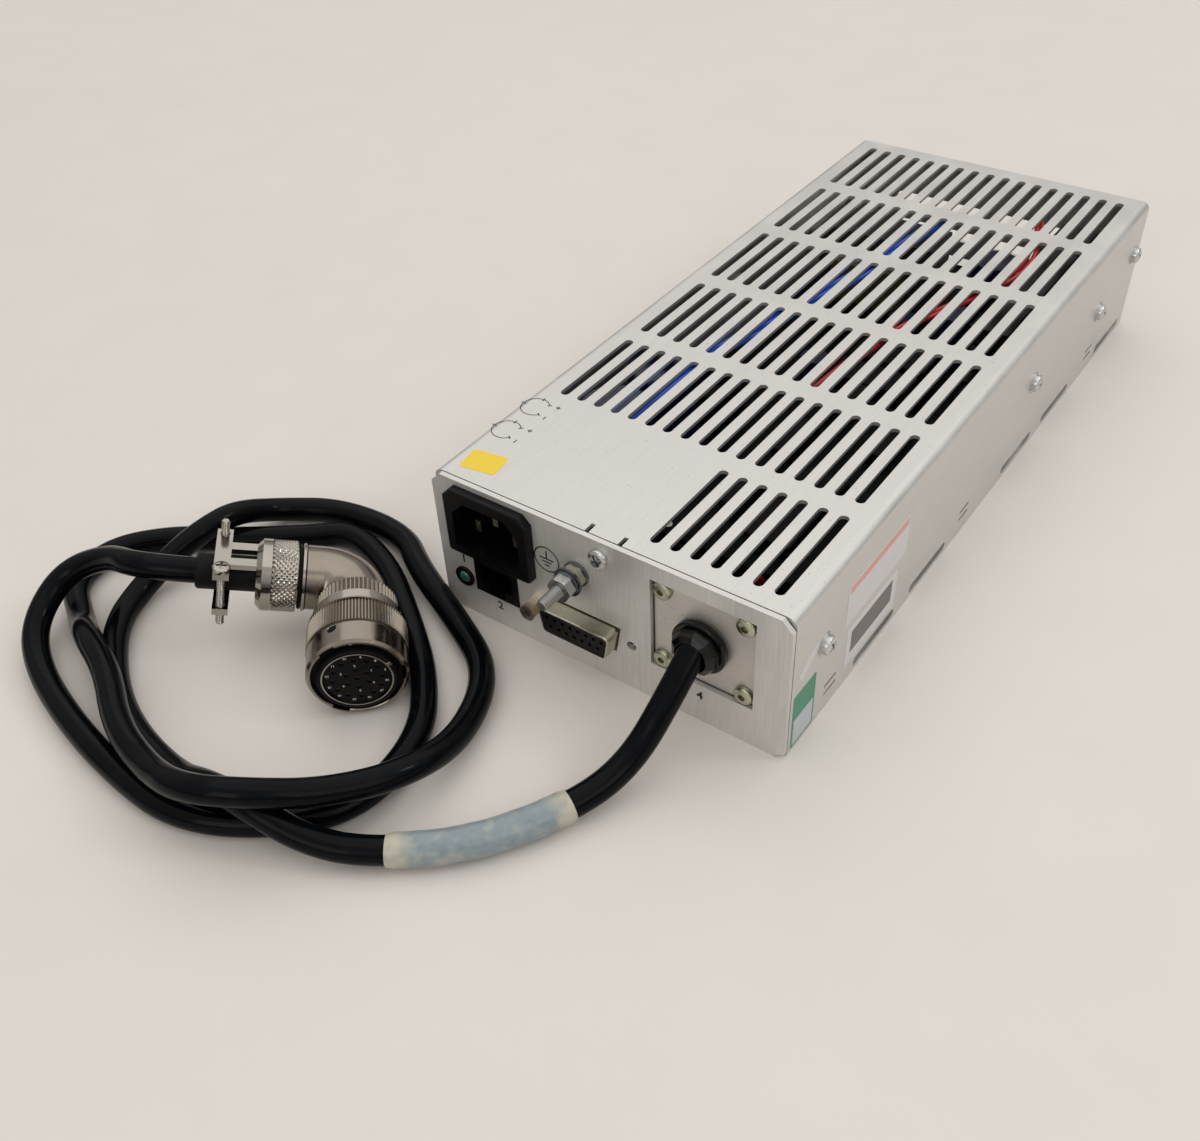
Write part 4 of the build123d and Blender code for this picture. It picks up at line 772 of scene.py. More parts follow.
@dataclass
class Lead:
    """The pump's lead and the marking sleeve on it.

    Attributes:
        corner: lower left corner of the connector panel, where the route is counted from.
        start: where the lead leaves the gland.
        plug_end: its last two points, in line with the plug's cable arm.
        route: the points between, in millimetres.
        radius: of the lead.
        length: real length, in metres; not used.
        sleeve_run: where the sleeve starts and ends along the lead.
        sleeve_radius: of the sleeve.
        seam_angle: where its seam lies round it.
    """

    corner: Vector
    start: Vector
    plug_end: Vector
    route: tuple[tuple[float, float, float], ...] = (
        (93, -14, 24), (90, -30, 8.5), (84, -48, 5), (69, -73, 5), (47, -90, 5), (33, -96, 7.5),
        (19.5, -99, 13.5), (3, -99, 11.5), (-13, -99, 4.1), (-37, -95, 4.1), (-57.5, -85.5, 4.1),
        (-77, -69.5, 4.1), (-84, -53.5, 4.1), (-82, -39, 10), (-79.5, -28, 13), (-78.5, -16, 12.5),
        (-75.5, 0, 4.1), (-58, 11, 4.1), (-30, 12.5, 4.5), (-11, -0.5, 7), (12, -10, 5), (34, -21.5, 4.1),
        (45, -47, 6), (44.5, -70, 13.5), (33, -86.5, 15.5), (21.5, -100, 21.5), (4.5, -107.5, 19.5),
        (-13.5, -105.5, 13.5), (-34, -100, 12.5), (-54, -87.5, 12.5), (-73, -81, 11.5), (-86.5, -74.5, 4.1),
        (-104.5, -65, 4.1), (-109, -47, 4.1), (-96, -31, 4.1), (-77, -20, 4.1), (-56, -5, 4.1),
        (-46.5, 4, 4.1), (-25, -1.5, 4.1), (-1, -17.5, 4.1), (19.5, -33, 4.1), (34, -51.5, 4.1),
        (36.5, -78, 4.1), (21.5, -96, 4.1), (-2, -108.5, 4.1), (-28.5, -107.5, 4.1), (-56.5, -102.5, 4.1),
        (-82, -94.5, 4.1), (-95, -85, 8), (-98, -69, 15.5), (-84, -60, 22.5), (-64, -62, 29),
    )
    radius: float = 4.0 * MM
    length: float = 1.113
    sleeve_run: tuple[float, float] = (0.054, 0.106)
    sleeve_radius: float = 4.7 * MM
    seam_angle: float = math.radians(50)

    def build(self, plug_pieces: Sequence[bpy.types.Object]) -> None:
        """Lay the lead and its sleeve.

        Args:
            plug_pieces: everything on the lead's far end; not used.
        """
        lead = self._lay()
        sleeve = self._sleeve(lead)
        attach(lead, CASE)
        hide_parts("cable")
        LOG.info("laid the lead")

    def _lay(self) -> bpy.types.Object:
        """Make the lead as one smooth curve."""
        points = [self.start, *(self.corner + Vector(p) * MM for p in self.route), self.plug_end]
        data = bpy.data.curves.new("pump_lead", "CURVE")
        data.dimensions = "3D"
        spline = data.splines.new("NURBS")
        spline.points.add(len(points) - 1)
        for knot, place in zip(spline.points, points):
            knot.co = (*place, 1.0)
        spline.order_u = 3
        spline.use_endpoint_u = True
        spline.resolution_u = 12
        data.bevel_depth = self.radius
        data.bevel_resolution = 8
        data.use_fill_caps = True
        lead = bpy.data.objects.new("pump_lead", data)
        bpy.context.scene.collection.objects.link(lead)
        data.materials.append(LEAD_SHEATH.material())
        return lead

    def centreline(self, lead: bpy.types.Object) -> list[Vector]:
        """Read the points that the lead's own curve follows."""
        bare = lead.data.copy()
        bare.bevel_depth = 0.0
        holder = bpy.data.objects.new("centreline", bare)
        bpy.context.scene.collection.objects.link(holder)
        line = bpy.data.meshes.new_from_object(holder)
        points = [v.co.copy() for v in line.vertices]
        bpy.data.objects.remove(holder)
        bpy.data.meshes.remove(line)
        bpy.data.curves.remove(bare)
        return points

    def _sleeve(self, lead: bpy.types.Object) -> bpy.types.Object:
        """Shrink the marking sleeve onto the lead."""
        start, end = self.sleeve_run
        places, travelled = [], 0.0
        line = self.centreline(lead)
        for a, b in zip(line, line[1:]):
            step = (b - a).length
            if start <= travelled <= end:
                places.append((travelled, a, (b - a).normalized()))
            travelled += step
        mesh = bmesh.new()
        cream = mesh.verts.layers.float.new("cream")
        around = 48
        rows = []
        first, last = places[0][0], places[-1][0]
        for inner in (False, True):
            for distance, place, along in (reversed(places) if inner else places):
                side = along.cross(Vector((0, 0, 1))).normalized()
                spindle = Spindle(place, along, side)
                row = []
                for i in range(around):
                    angle = TURN * i / around
                    radius = self.radius * 0.99 if inner else self._sleeve_radius(angle, distance, first, last)
                    vert = mesh.verts.new(spindle.point(0.0, radius, angle))
                    vert[cream] = self._cream(distance, first, last)
                    row.append(vert)
                rows.append(row)
        for low, high in zip(rows, rows[1:] + rows[:1]):
            for i in range(around):
                j = (i + 1) % around
                mesh.faces.new((low[i], low[j], high[j], high[i]))
        return finished(mesh, "marking_sleeve", SLEEVE_FILM, CASE, sharp_deg=60.0, replaces=("cable_sleeve",))

    def _sleeve_radius(self, angle: float, distance: float, first: float, last: float) -> float:
        """Radius of the sleeve: wrinkled, drawn in at its ends, with a seam on its far upper side."""
        from_end = min(distance - first, last - distance)
        drawn_in = 0.35 * MM * max(0.0, 1.0 - from_end / (1.2 * MM)) ** 2
        wrinkle = 0.10 * MM * math.sin(distance * 900) * math.sin(3 * angle + distance * 400)
        seam_gap = math.cos(angle - self.seam_angle)
        seam = 0.65 * MM * max(0.0, seam_gap) ** 60 * (0.7 + 0.3 * math.sin(distance * 1500))
        return self.sleeve_radius - drawn_in + wrinkle * min(1.0, from_end / (4 * MM)) + seam

    @staticmethod
    def _cream(distance: float, first: float, last: float) -> float:
        """How cream the film is: fully at both ends, not at all in the middle."""
        from_end = min((distance - first) / 0.9, last - distance)
        return max(0.0, min(1.0, 1.6 - from_end / (4.5 * MM)))


@dataclass(frozen=True)
class SleeveFilm(Finish):
    """Grey-blue film over black, cream where it lies off the sheath."""

    cream: Color = (0.50, 0.46, 0.36)

    def _color(self, tree: bpy.types.NodeTree, grain: bpy.types.NodeSocket,
               blotch: bpy.types.NodeSocket) -> bpy.types.NodeSocket:
        """Mix the film's colour with cream by the sleeve's own attribute, broken up by the blotches."""
        film = super()._color(tree, grain, blotch)
        where = tree.nodes.new("ShaderNodeAttribute")
        where.attribute_name = "cream"
        uneven = tree.nodes.new("ShaderNodeMath")
        uneven.operation = "MULTIPLY_ADD"
        tree.links.new(blotch, uneven.inputs[0])
        uneven.inputs[1].default_value = 2.4
        uneven.inputs[2].default_value = -1.2
        total = tree.nodes.new("ShaderNodeMath")
        total.operation = "ADD"
        total.use_clamp = True
        tree.links.new(where.outputs["Fac"], total.inputs[0])
        tree.links.new(uneven.outputs[0], total.inputs[1])
        mix = tree.nodes.new("ShaderNodeMix")
        mix.data_type = "RGBA"
        mix.inputs["B"].default_value = (*self.cream, 1.0)
        tree.links.new(total.outputs[0], mix.inputs["Factor"])
        tree.links.new(film, mix.inputs["A"])
        return mix.outputs["Result"]


SLEEVE_FILM = SleeveFilm("sleeve_film", (0.24, 0.29, 0.31), "sleeve_clear", roughness=0.34, mottle=0.10,
                         blotch_scale=220, bump=0.00005, grain_scale=500, coat=0.1)


# ---- plug ------------------------------------------------------------------------------------------


@dataclass
class Plug:
    """The right-angle bayonet plug: knurled rings, face, clamp screws.

    Attributes:
        elbow: where its two axes meet.
        heading: the way its contacts face.
        arm_pitch_deg: how far the cable arm rises from the bench.
    """

    elbow: Vector
    heading: Vector
    arm_pitch_deg: float = 14.6
    ring_radius: float = 14.6 * MM
    ring_wall: float = 1.4 * MM
    ring_start: float = 23.0 * MM
    ring_end: float = 42.0 * MM
    knurl_run: tuple[float, float] = (24.0 * MM, 33.0 * MM)
    sight_hole: tuple[float, float, float] = (35.1 * MM, math.radians(20), 1.4 * MM)
    rear_ring_radius: float = 12.1 * MM
    rear_ring_run: tuple[float, float] = (11.8 * MM, 17.6 * MM)
    arm_nut_radius: float = 10.9 * MM
    arm_nut_run: tuple[float, float] = (18.0 * MM, 25.3 * MM)
    elbow_radius: float = 9.8 * MM
    shell_radius: float = 11.0 * MM
    shell_end: float = 43.0 * MM
    insert_end: float = 42.2 * MM
    lip_radius: float = 12.9 * MM
    lip_length: float = 1.2 * MM
    gasket_floor: float = 40.6 * MM
    fit: float = 0.05 * MM

    def __post_init__(self) -> None:
        """Work out the arm's directions."""
        across = Vector((self.heading.y, -self.heading.x, 0.0))
        pitch = math.radians(self.arm_pitch_deg)
        self.arm = across * math.cos(pitch) + Vector((0, 0, 1)) * math.sin(pitch)
        self.arm_up = self.heading.cross(self.arm).normalized()
        if self.arm_up.z < 0:
            self.arm_up = -self.arm_up
        self.mating = Spindle(self.elbow, self.heading, Vector((0, 0, 1)))
        self.cable_arm = Spindle(self.elbow, self.arm, self.arm_up)

    def build(self) -> list[bpy.types.Object]:
        """Make the plug's detailed pieces.

        Returns:
            Every piece of the plug, CAD nodes among them.
        """
        pieces = [self._coupling_ring(), self._rear_ring(), self._arm_nut(), self._arm_seal(), self._gasket(),
                  self._face_marks(), self._index_mark(), self._clamp_screws(), self._key(), self._sight_hole(),
                  self._arm_collar()]
        for node in ("plug_elbow", "plug_shell", "plug_insert", "plug_contacts", "clamp_yoke", "clamp_saddle",
                     "clamp_bushing"):
            pieces.append(bpy.data.objects[node])
        return pieces

    def _coupling_ring(self) -> bpy.types.Object:
        """Turn the bayonet ring with its fine straight knurl, its notched lip and its sight hole."""
        outer, inner = self.ring_radius, self.ring_radius - self.ring_wall
        first, last = self.knurl_run
        chamfer = 0.5 * MM
        bands = [(self.ring_start, inner - self.ring_wall), (self.ring_start, outer - chamfer),
                 (self.ring_start + chamfer, outer), (first, outer)]
        bands += [(first + 0.01 * MM, outer)] + [(t, outer) for t in steps(first + 0.3 * MM, last - 0.3 * MM, 2 * MM)]
        bands += [(last, outer), (last + 0.1 * MM, outer - chamfer), (last + 0.7 * MM, outer - chamfer),
                  (last + 0.9 * MM, outer - 0.2 * MM)]
        bands += [(t, outer - 0.2 * MM) for t in steps(self.sight_hole[0] - 1.15 * MM, self.sight_hole[0] + 1.75 * MM, 0.12 * MM)]
        bands += [(self.ring_end - 0.9 * MM, outer - 0.2 * MM), (self.ring_end, outer - 0.9 * MM),
                  (self.ring_end, self.lip_radius + 0.2 * MM), (self.ring_end - 0.2 * MM, self.lip_radius),
                  (self.ring_end - self.lip_length, self.lip_radius), (self.ring_end - self.lip_length, inner),
                  (self.ring_start + 2.2 * MM, inner), (self.ring_start + 2.2 * MM, inner - self.ring_wall)]
        teeth, notches, first_notch = 96, 3, math.radians(30)
        hole_at, hole_angle, hole_radius = self.sight_hole

        def relief(angle: float, distance: float, radius: float) -> float:
            if first < distance < last and radius > inner:
                return -0.45 * MM * min(1.0, 1.7 * (1.0 - zigzag(angle * teeth / TURN)))
            lip = distance > self.ring_end - self.lip_length - 0.1 * MM and radius < self.lip_radius + 0.5 * MM
            if lip and abs(((angle + first_notch) * notches / TURN) % 1.0 - 0.5) < 0.09:
                return 1.0 * MM
            along, around = distance - hole_at, (angle - hole_angle) * outer
            if radius > inner and along**2 + around**2 < hole_radius**2:
                return -0.5 * MM
            return 0.0

        mesh = bmesh.new()
        turn_profile(mesh, self.mating, bands, teeth * 6, relief, ring=True)
        return finished(mesh, "knurled_coupling_ring", PLUG_NICKEL, COUPLING, 30.0, ("coupling_ring",))

    def _sight_hole(self) -> bpy.types.Object:
        """Put a black disc in the coupling ring's sight hole, as painted shade where the hole looks dark."""
        along, angle, radius = self.sight_hole
        place = self.mating.point(along, self.ring_radius - 0.55 * MM, angle)
        out = (place - self.elbow - self.heading * along).normalized()
        turned = Matrix((self.heading.cross(out), self.heading, out)).transposed().to_4x4()
        turned.translation = place
        mesh = bmesh.new()
        bmesh.ops.create_cone(mesh, cap_ends=True, segments=32, radius1=radius * 0.93, radius2=radius * 0.93,
                              depth=0.1 * MM, matrix=turned)
        # painted shade: a black disc stands for the dark inside of the through-hole
        return finished(mesh, "sight_hole_floor", INSERT_BLACK, COUPLING)

    def _rear_ring(self) -> bpy.types.Object:
        """Turn the coarse-knurled ring behind the shell."""
        start, end = self.rear_ring_run
        outer, bore, chamfer = self.rear_ring_radius, self.elbow_radius + self.fit, 0.5 * MM
        teeth = 60
        profile = [(start, bore), (start, outer - chamfer), (start + chamfer, outer), (start + 0.7 * MM, outer),
                   (end - 0.7 * MM, outer), (end - chamfer, outer), (end, outer - chamfer), (end, bore)]

        def relief(angle: float, distance: float, radius: float) -> float:
            if radius < outer - chamfer or not start + 0.1 * MM < distance < end - 0.1 * MM:
                return 0.0
            return -0.5 * MM * min(1.0, 1.6 * (1.0 - zigzag(angle * teeth / TURN)))

        mesh = bmesh.new()
        turn_profile(mesh, self.mating, profile, teeth * 8, relief, ring=True)
        return finished(mesh, "knurled_backshell_ring", PLUG_NICKEL, CASE, 30.0, ("backshell_ring",))

    def _arm_nut(self) -> bpy.types.Object:
        """Turn the diamond-knurled nut of the cable arm."""
        start, end = self.arm_nut_run
        outer, bore, chamfer = self.arm_nut_radius, 8.65 * MM, 0.4 * MM
        starts = 44
        pitch = TURN * outer / starts

        def relief(angle: float, distance: float, radius: float) -> float:
            if radius < outer or not start + chamfer <= distance <= end - chamfer:
                return 0.0
            turns, travel = angle * starts / TURN, distance / pitch
            return -0.42 * MM * max(1.0 - zigzag(turns + travel), 1.0 - zigzag(turns - travel))

        bands = [(start, bore), (start, outer - chamfer), (start + chamfer, outer)]
        bands += [(t, outer) for t in steps(start + chamfer, end - chamfer, pitch / 8)[1:]]
        bands += [(end, outer - chamfer), (end, bore)]
        mesh = bmesh.new()
        turn_profile(mesh, self.cable_arm, bands, starts * 8, relief, ring=True)
        return finished(mesh, "knurled_arm_nut", BRIGHT_NICKEL, CASE, 28.0, ("arm_nut",))

    def _gasket(self) -> bpy.types.Object:
        """Mould the black gasket between the shell's rim and the coupling ring."""
        rim, floor = self.shell_end + 0.02 * MM, self.gasket_floor
        bore, outer = self.shell_radius + self.fit, self.lip_radius - self.fit
        profile = [(floor - 1.0 * MM, bore), (rim, bore), (rim, 10.2 * MM), (rim + 0.1 * MM, 10.2 * MM),
                   (rim + 0.1 * MM, bore - 0.1 * MM), (rim - 0.1 * MM, bore + 0.15 * MM),
                   (floor, bore + 0.2 * MM), (floor, outer), (floor - 1.0 * MM, outer)]
        mesh = bmesh.new()
        turn_profile(mesh, self.mating, profile, 96, ring=True)
        return finished(mesh, "face_gasket", BLACK_RUBBER, CASE)

    def _face_marks(self) -> bpy.types.Object:
        """Print the contact numbers on the insert."""
        up = Vector((0, 0, 1))
        right = up.cross(self.heading).normalized()
        sheet = Sheet(self.elbow + self.heading * (self.insert_end + 0.01 * MM), right, up, 0.03 * MM)
        number = 1
        for count, circle in ((6, 4.9), (12, 8.4)):
            for i in range(count):
                angle = TURN * (i + 0.5) / count
                sheet.numeral(str(number), circle * math.cos(angle), circle * math.sin(angle), 0.8, 180.0)
                number += 1
        return sheet.piece("contact_numbers", MARK_WHITE)

    def _index_mark(self) -> bpy.types.Object:
        """Print the white index mark on the gasket."""
        up = Vector((0, 0, 1))
        right = up.cross(self.heading).normalized()
        sheet = Sheet(self.elbow + self.heading * (self.gasket_floor + 0.01 * MM), right, up, 0.03 * MM)
        sheet.card(0.0, 12.05, 0.8, 1.0, 0.3)
        return sheet.piece("index_mark", MARK_WHITE)

    def _arm_seal(self) -> bpy.types.Object:
        """Put the seal and its steel ring between the elbow and the arm nut."""
        start = self.arm_nut_run[0]
        mesh = bmesh.new()
        profile = [(start - 1.5 * MM + t, 9.1 * MM + r) for t, r in (
            (0.0, 0.0), (0.15 * MM, 0.55 * MM), (0.6 * MM, 0.75 * MM), (1.05 * MM, 0.55 * MM), (1.2 * MM, 0.0))]
        turn_profile(mesh, self.cable_arm, profile + [(start - 0.3 * MM, 8.65 * MM), (start - 1.5 * MM, 8.65 * MM)],
                     96, ring=True)
        line = start - 2.5 * MM
        turn_profile(mesh, self.cable_arm, [(line - 0.3 * MM, self.elbow_radius + 0.01 * MM),
                                            (line - 0.3 * MM, self.elbow_radius + 0.15 * MM),
                                            (line, self.elbow_radius + 0.15 * MM),
                                            (line, self.elbow_radius + 0.01 * MM)], 96, ring=True)
        return finished(mesh, "arm_seal", BLACK_RUBBER, CASE)

    def _arm_collar(self) -> bpy.types.Object:
        """Turn the plain collar that the seal bears on."""
        start, end = self.arm_nut_run[0] - 2.5 * MM, self.arm_nut_run[0] - 1.5 * MM
        bore, outer, chamfer = self.elbow_radius + 0.01 * MM, self.elbow_radius + 0.5 * MM, 0.15 * MM
        mesh = bmesh.new()
        turn_profile(mesh, self.cable_arm, [(start, bore), (start, outer - chamfer), (start + chamfer, outer),
                                            (end - chamfer, outer), (end, outer - chamfer), (end, bore)],
                     96, ring=True)
        return finished(mesh, "arm_collar", BRIGHT_NICKEL, CASE)

    def _key(self) -> bpy.types.Object:
        """Add the small locating key on the shell's rim."""
        mesh = bmesh.new()
        angle = math.radians(-62)
        place = self.mating.point(self.shell_end + 0.1 * MM, 10.9 * MM, angle)
        bmesh.ops.create_cube(mesh, size=1.0)
        across = (place - self.elbow - self.heading * (self.shell_end + 0.1 * MM)).normalized()
        third = self.heading.cross(across)
        turned = Matrix((across, third, self.heading)).transposed().to_4x4()
        turned.translation = place
        size = Matrix.Diagonal((1.6 * MM, 1.3 * MM, 1.0 * MM, 1.0))
        bmesh.ops.transform(mesh, matrix=turned @ size, verts=mesh.verts)
        bmesh.ops.bevel(mesh, geom=mesh.edges, offset=0.15 * MM, segments=2, affect="EDGES")
        return finished(mesh, "locating_key", BRIGHT_NICKEL, CASE)

    def _clamp_screws(self) -> bpy.types.Object:
        """Turn the two threaded screws that draw the saddle to the yoke."""
        mesh = bmesh.new()
        reach, seat = 8.4 * MM, 8.0 * MM
        length, radius = 21.0 * MM, 1.25 * MM
        middle = self.elbow + self.arm * 39.6 * MM
        head = ScrewHead(2.6 * MM, 1.8 * MM, Recess.CROSS, 1.5 * MM, 0.9 * MM, bore=1.3 * MM, length=1.0 * MM)
        for side in (1, -1):
            origin = middle + self.heading * side * reach + self.arm_up * side * seat
            axis = Spindle(origin, self.arm_up * side, self.heading)
            head.build(mesh, axis)
            relief = thread_relief(0.55 * MM, 0.25 * MM, -length + 0.3 * MM, 0.0)
            rows = [(-t, radius) for t in steps(0.0, length - 0.4 * MM, 0.09 * MM)]
            turn_profile(mesh, axis, rows + [(-length, radius - 0.35 * MM)], 28, relief)
        return finished(mesh, "threaded_clamp_screws", BRIGHT_NICKEL, CASE, 40.0, ("clamp_screws",))


# ---- case ------------------------------------------------------------------------------------------


@dataclass
class Gland:
    """Faceted nylon gland that the lead leaves through.

    Attributes:
        facets: flats round its head.
        flat_share: how far in the flats lie, as a share of the corner radius.
    """

    facets: int = 10
    flat_share: float = 0.93

    def build(self) -> None:
        """Turn the head over the CAD gland's own space."""
        low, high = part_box("gland_body")
        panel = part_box("chassis")[0].y
        corner = (high.z - low.z) / 2 - 1.0 * MM
        throat = 4.25 * MM
        axis = Spindle(Vector(((low.x + high.x) / 2, panel, (low.z + high.z) / 2)), Vector((0, -1, 0)),
                       Vector((0, 0, 1)))
        head = panel - low.y
        profile = [(0.05 * MM, throat), (0.05 * MM, corner + 0.9 * MM), (1.6 * MM, corner + 0.9 * MM),
                   (2.0 * MM, corner + 0.5 * MM), (2.1 * MM, corner - 0.3 * MM), (2.6 * MM, corner),
                   (head - 2.6 * MM, corner), (head - 1.0 * MM, corner - 0.8 * MM), (head - 0.2 * MM, corner - 2.0 * MM),
                   (head, corner - 2.6 * MM), (head - 0.1 * MM, throat + 0.5 * MM), (head - 0.8 * MM, throat)]

        def relief(angle: float, distance: float, radius: float) -> float:
            if radius < corner - 2.2 * MM or distance < 2.05 * MM:
                return 0.0
            sector = (angle % (TURN / self.facets)) - TURN / self.facets / 2
            return min(0.0, radius * (self.flat_share / math.cos(sector) - 1.0))

        mesh = bmesh.new()
        turn_profile(mesh, axis, profile, self.facets * 12, relief, ring=True)
        finished(mesh, "gland_head", GLAND_NYLON, CASE, 25.0, ("gland_body",))


@dataclass
class Fasteners:
    """Screws of the case and the earth stud, with their recesses and threads."""

    pan_head: ScrewHead = ScrewHead(2.9 * MM, 2.0 * MM, Recess.CROSS, 1.7 * MM, 1.0 * MM)
    tab_head: ScrewHead = ScrewHead(3.1 * MM, 2.0 * MM, Recess.CROSS, 1.8 * MM, 1.0 * MM)
    button_head: ScrewHead = ScrewHead(2.9 * MM, 1.7 * MM, Recess.HEX, 0.95 * MM, 1.3 * MM)
    washer: float = 0.6 * MM
    stud_thread: tuple[float, float] = (1.0 * MM, 0.42 * MM)

    def build(self) -> None:
        """Make the screws, then the stud."""
        self._cover_screws()
        self._panel_screws()
        self._earth_stud()

    def _cover_screws(self) -> None:
        """Drive the screws of both sides."""
        mesh = bmesh.new()
        for low, high in islands("cover_screws"):
            side = 1 if low.x > 0 else -1
            face = (high.x if side > 0 else low.x) - side * self.pan_head.height
            seat = Vector((face, (low.y + high.y) / 2, (low.z + high.z) / 2))
            turn = Vector((0, math.cos(seat.y * 90), math.sin(seat.y * 90)))
            self.pan_head.build(mesh, Spindle(seat, Vector((side, 0, 0)), turn))
        finished(mesh, "cover_screw_heads", ZINC_STEEL, CASE, 40.0, ("cover_screws",))

    def _panel_screws(self) -> None:
        """Drive the tab's screw and the four screws of the lead's plate."""
        for node, head, finish, piece in (("tab_screw", self.tab_head, ZINC_STEEL, "tab_screw_head"),
                                          ("gland_plate_screws", self.button_head, YELLOW_ZINC, "button_screws")):
            mesh = bmesh.new()
            for low, high in islands(node):
                seat = Vector(((low.x + high.x) / 2, low.y + head.height, (low.z + high.z) / 2))
                head.build(mesh, Spindle(seat, Vector((0, -1, 0)), Vector((0.9, 0, 0.43))))
            finished(mesh, piece, finish, CASE, 40.0, (node,))

    def _earth_stud(self) -> None:
        """Cut the stud's thread."""
        low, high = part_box("earth_stud")
        radius = 1.95 * MM
        pitch, depth = self.stud_thread
        length = high.y - low.y
        front = Vector(((low.x + high.x) / 2, high.y, (low.z + high.z) / 2))
        axis = Spindle(front, Vector((0, -1, 0)), Vector((1, 0, 0)))
        mesh = bmesh.new()
        rows = [(t, radius) for t in steps(0.0, length - 0.5 * MM, 0.09 * MM)]
        relief = thread_relief(pitch, depth, 5.0 * MM, length - 0.2 * MM)
        turn_profile(mesh, axis, rows + [(length, radius - 0.6 * MM)], 40, relief)
        finished(mesh, "threaded_stud", THREAD_STEEL, CASE, 40.0, ("earth_stud",))


@dataclass
class Wiring:
    """Hook-up wires that lie just below the slots, in millimetres from the panel's lower left corner."""

    radius: float = 0.9 * MM
    pitch: float = 2.1
    blue_run: tuple[tuple[float, float, float], ...] = (
        (27, 52, 47), (29, 80, 48.2), (33, 112, 47.4), (43, 150, 48), (52, 196, 48.2), (55, 232, 47.2))
    red_run: tuple[tuple[float, float, float], ...] = (
        (70, 96, 47), (73, 124, 48), (78, 150, 48.2), (90, 182, 47.4), (99, 214, 48.2), (88, 246, 47.6))

    def build(self) -> None:
        """Lay the blue and the red wires."""
        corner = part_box("chassis")[0]
        self._bundle("blue_hookup_wires", WIRE_BLUE, corner, self.blue_run, 3)
        self._bundle("red_hookup_wires", WIRE_RED, corner, self.red_run, 2)

    def _bundle(self, name: str, finish: Finish, corner: Vector, run: Sequence[tuple[float, float, float]],
                count: int) -> None:
        """Lay wires side by side.

        Args:
            name: the piece's name.
            finish: the wires' colour.
            corner: where the run is counted from.
            run: points along the first wire.
            count: number of wires.
        """
        data = bpy.data.curves.new(name, "CURVE")
        data.dimensions = "3D"
        data.bevel_depth = self.radius
        data.bevel_resolution = 2
        data.use_fill_caps = True
        for k in range(count):
            spline = data.splines.new("NURBS")
            spline.points.add(len(run) - 1)
            for i, (knot, place) in enumerate(zip(spline.points, run)):
                sway = self.pitch * k * (1.0 + 0.25 * math.sin(2.0 * i + k))
                knot.co = (*(corner + (Vector(place) + Vector((sway, 0.0, 0.0))) * MM), 1.0)
            spline.order_u = 3
            spline.use_endpoint_u = True
            spline.resolution_u = 6
        holder = bpy.data.objects.new(name, data)
        bpy.context.scene.collection.objects.link(holder)
        tubes = bpy.data.meshes.new_from_object(holder)
        bpy.data.objects.remove(holder)
        bpy.data.curves.remove(data)
        mesh = bmesh.new()
        mesh.from_mesh(tubes)
        bpy.data.meshes.remove(tubes)
        finished(mesh, name, finish, CASE)


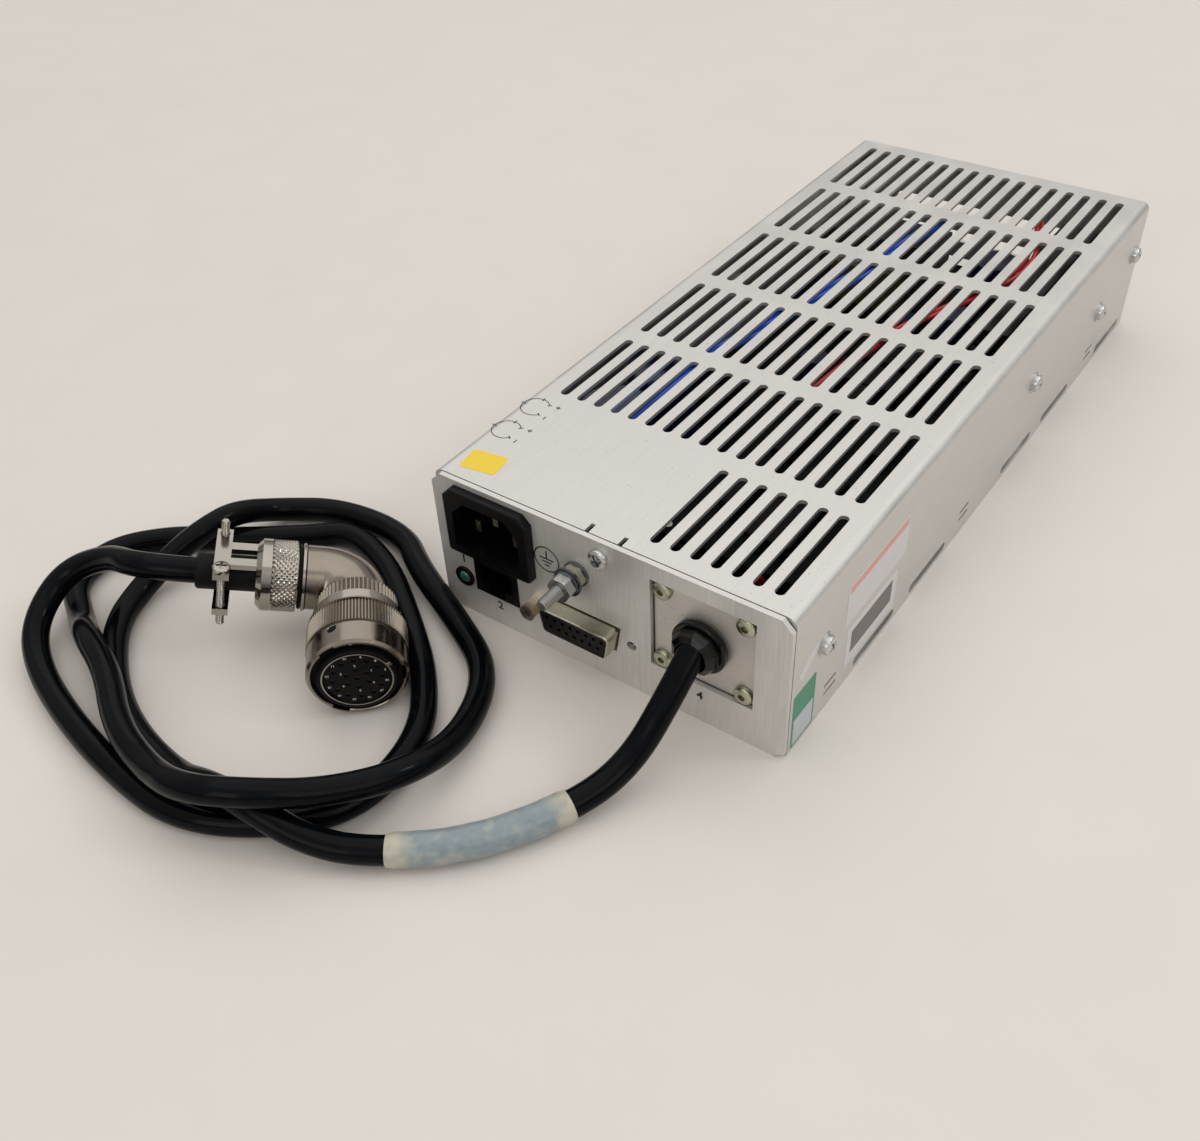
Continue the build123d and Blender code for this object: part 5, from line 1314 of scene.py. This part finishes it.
@dataclass
class Markings:
    """Printing and blank stickers of the case, in millimetres from the panel's lower left corner."""

    ink: float = 0.03 * MM
    film: float = 0.08 * MM
    earth_at: tuple[float, float] = (41.5, 36.0)
    earth_radius: float = 4.3
    dial_x: float = 6.0
    dial_ys: tuple[float, float] = (28.0, 42.3)
    dial_radius: float = 4.5

    def build(self) -> None:
        """Print the panel and the top, then stick the stickers on."""
        low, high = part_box("chassis")
        cover_low, cover_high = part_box("cover")
        front = Vector((low.x, low.y, low.z))
        top = Vector((low.x, low.y, cover_high.z))
        right = Vector((cover_high.x, low.y, low.z))
        self._panel(front)
        self._top(top)
        self._side(right)

    def _panel(self, corner: Vector) -> None:
        """Print the earth symbol and the port numbers."""
        sheet = Sheet(corner, Vector((1, 0, 0)), Vector((0, 0, 1)), self.ink)
        x, z = self.earth_at
        sheet.arc(x, z, self.earth_radius, 0.45, 0, 360)
        sheet.bar(x, z + 1.75, 0.5, 2.9)
        for k, width in enumerate((5.0, 3.4, 1.8)):
            sheet.bar(x, z + 0.2 - 1.2 * k, width, 0.5)
        for text, px, pz in (("1", 8.6, 21.0), ("2", 21.5, 8.0), ("3", 53.5, 8.2), ("4", 93.0, 10.0)):
            sheet.numeral(text, px, pz, 3.0)
        sheet.piece("panel_print", PRINT_BLACK)

    def _top(self, corner: Vector) -> None:
        """Print the two trimmer dials."""
        sheet = Sheet(corner, Vector((1, 0, 0)), Vector((0, 1, 0)), self.ink)
        for y in self.dial_ys:
            self._dial(sheet, self.dial_x, y)
        sheet.piece("dial_print", PRINT_BLACK)
        label = Sheet(corner, Vector((1, 0, 0)), Vector((0, 1, 0)), self.film)
        label.card(11.0, 11.5, 12.0, 9.0, 1.0, 8.0)
        label.piece("yellow_sticker", STICKER_YELLOW)

    def _dial(self, sheet: Sheet, x: float, y: float) -> None:
        """Draw one dial: an open arc with four ticks, a plus and a minus."""
        opening = 38.0
        sheet.arc(x, y, self.dial_radius, 0.3, opening, 360 - opening)
        for angle in (90.0, 180.0):
            c, s = math.cos(math.radians(angle)), math.sin(math.radians(angle))
            sheet.bar(x + self.dial_radius * c, y + self.dial_radius * s, 1.7, 0.35, angle)
        for angle, lean in ((opening, 40.0), (360 - opening, -40.0)):
            c, s = math.cos(math.radians(angle)), math.sin(math.radians(angle))
            sheet.bar(x + self.dial_radius * c, y + self.dial_radius * s, 1.5, 0.4, lean)
        sheet.bar(x + 6.6, y + 3.2, 1.7, 0.35)
        sheet.bar(x + 6.6, y + 3.2, 0.35, 1.7)
        sheet.bar(x + 6.2, y - 3.4, 0.35, 1.7)

    def _side(self, corner: Vector) -> None:
        """Stick the blank stickers on the right side."""

        def layer(thickness: float = 1.0) -> Sheet:
            return Sheet(corner, Vector((0, 1, 0)), Vector((0, 0, 1)), self.film * thickness)

        green = layer()
        green.card(9.8, 11.2, 12.4, 20.0, 0.6)
        green.piece("green_sticker", STICKER_GREEN)
        pane = layer(1.4)
        pane.card(9.8, 6.9, 10.8, 9.8, 0.4)
        pane.piece("green_sticker_pane", STICKER_GREY)
        strip = layer()
        strip.bar(11.0, 29.5, 11.5, 3.0, 33.0)
        strip.piece("slanted_strip", STICKER_WHITE)
        label = layer()
        label.card(51.0, 32.0, 38.0, 14.8, 1.5)
        label.card(50.0, 14.2, 32.0, 15.0, 1.0)
        label.piece("white_labels", STICKER_WHITE)
        stripe = layer(1.3)
        stripe.bar(51.0, 37.4, 36.0, 2.6)
        stripe.piece("label_stripe", STICKER_PINK)
        block = layer(1.3)
        block.bar(50.0, 15.0, 26.0, 8.4)
        block.piece("label_block", STICKER_BLOCK)


def dress_nodes() -> None:
    """Give every carried-over CAD node its finish."""
    for node, finish in NODE_FINISHES.items():
        piece = bpy.data.objects[node]
        piece.data.materials.clear()
        piece.data.materials.append(finish.material())


def main() -> None:
    """Build the studio, the lead with its plug, and the case."""
    logging.basicConfig(level=logging.INFO, format="%(message)s")
    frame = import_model()
    Studio().build()
    turn = next(j for j in frame["joints"] if j["child"] == COUPLING)
    plug = Plug(elbow=Vector(turn["pos_m"]), heading=Vector(turn["axis"]))
    chassis_low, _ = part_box("chassis")
    gland_low, gland_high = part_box("gland_body")
    gland = (gland_low + gland_high) / 2
    lead = Lead(corner=chassis_low, start=Vector((gland.x, chassis_low.y - 2.6 * MM, gland.z + 2.5 * MM)),
                plug_end=plug.elbow + plug.arm * 45.2 * MM)
    lead.build(plug.build())
    Gland().build()
    Fasteners().build()
    Wiring().build()
    Markings().build()
    dress_nodes()


if __name__ == "__main__":
    main()
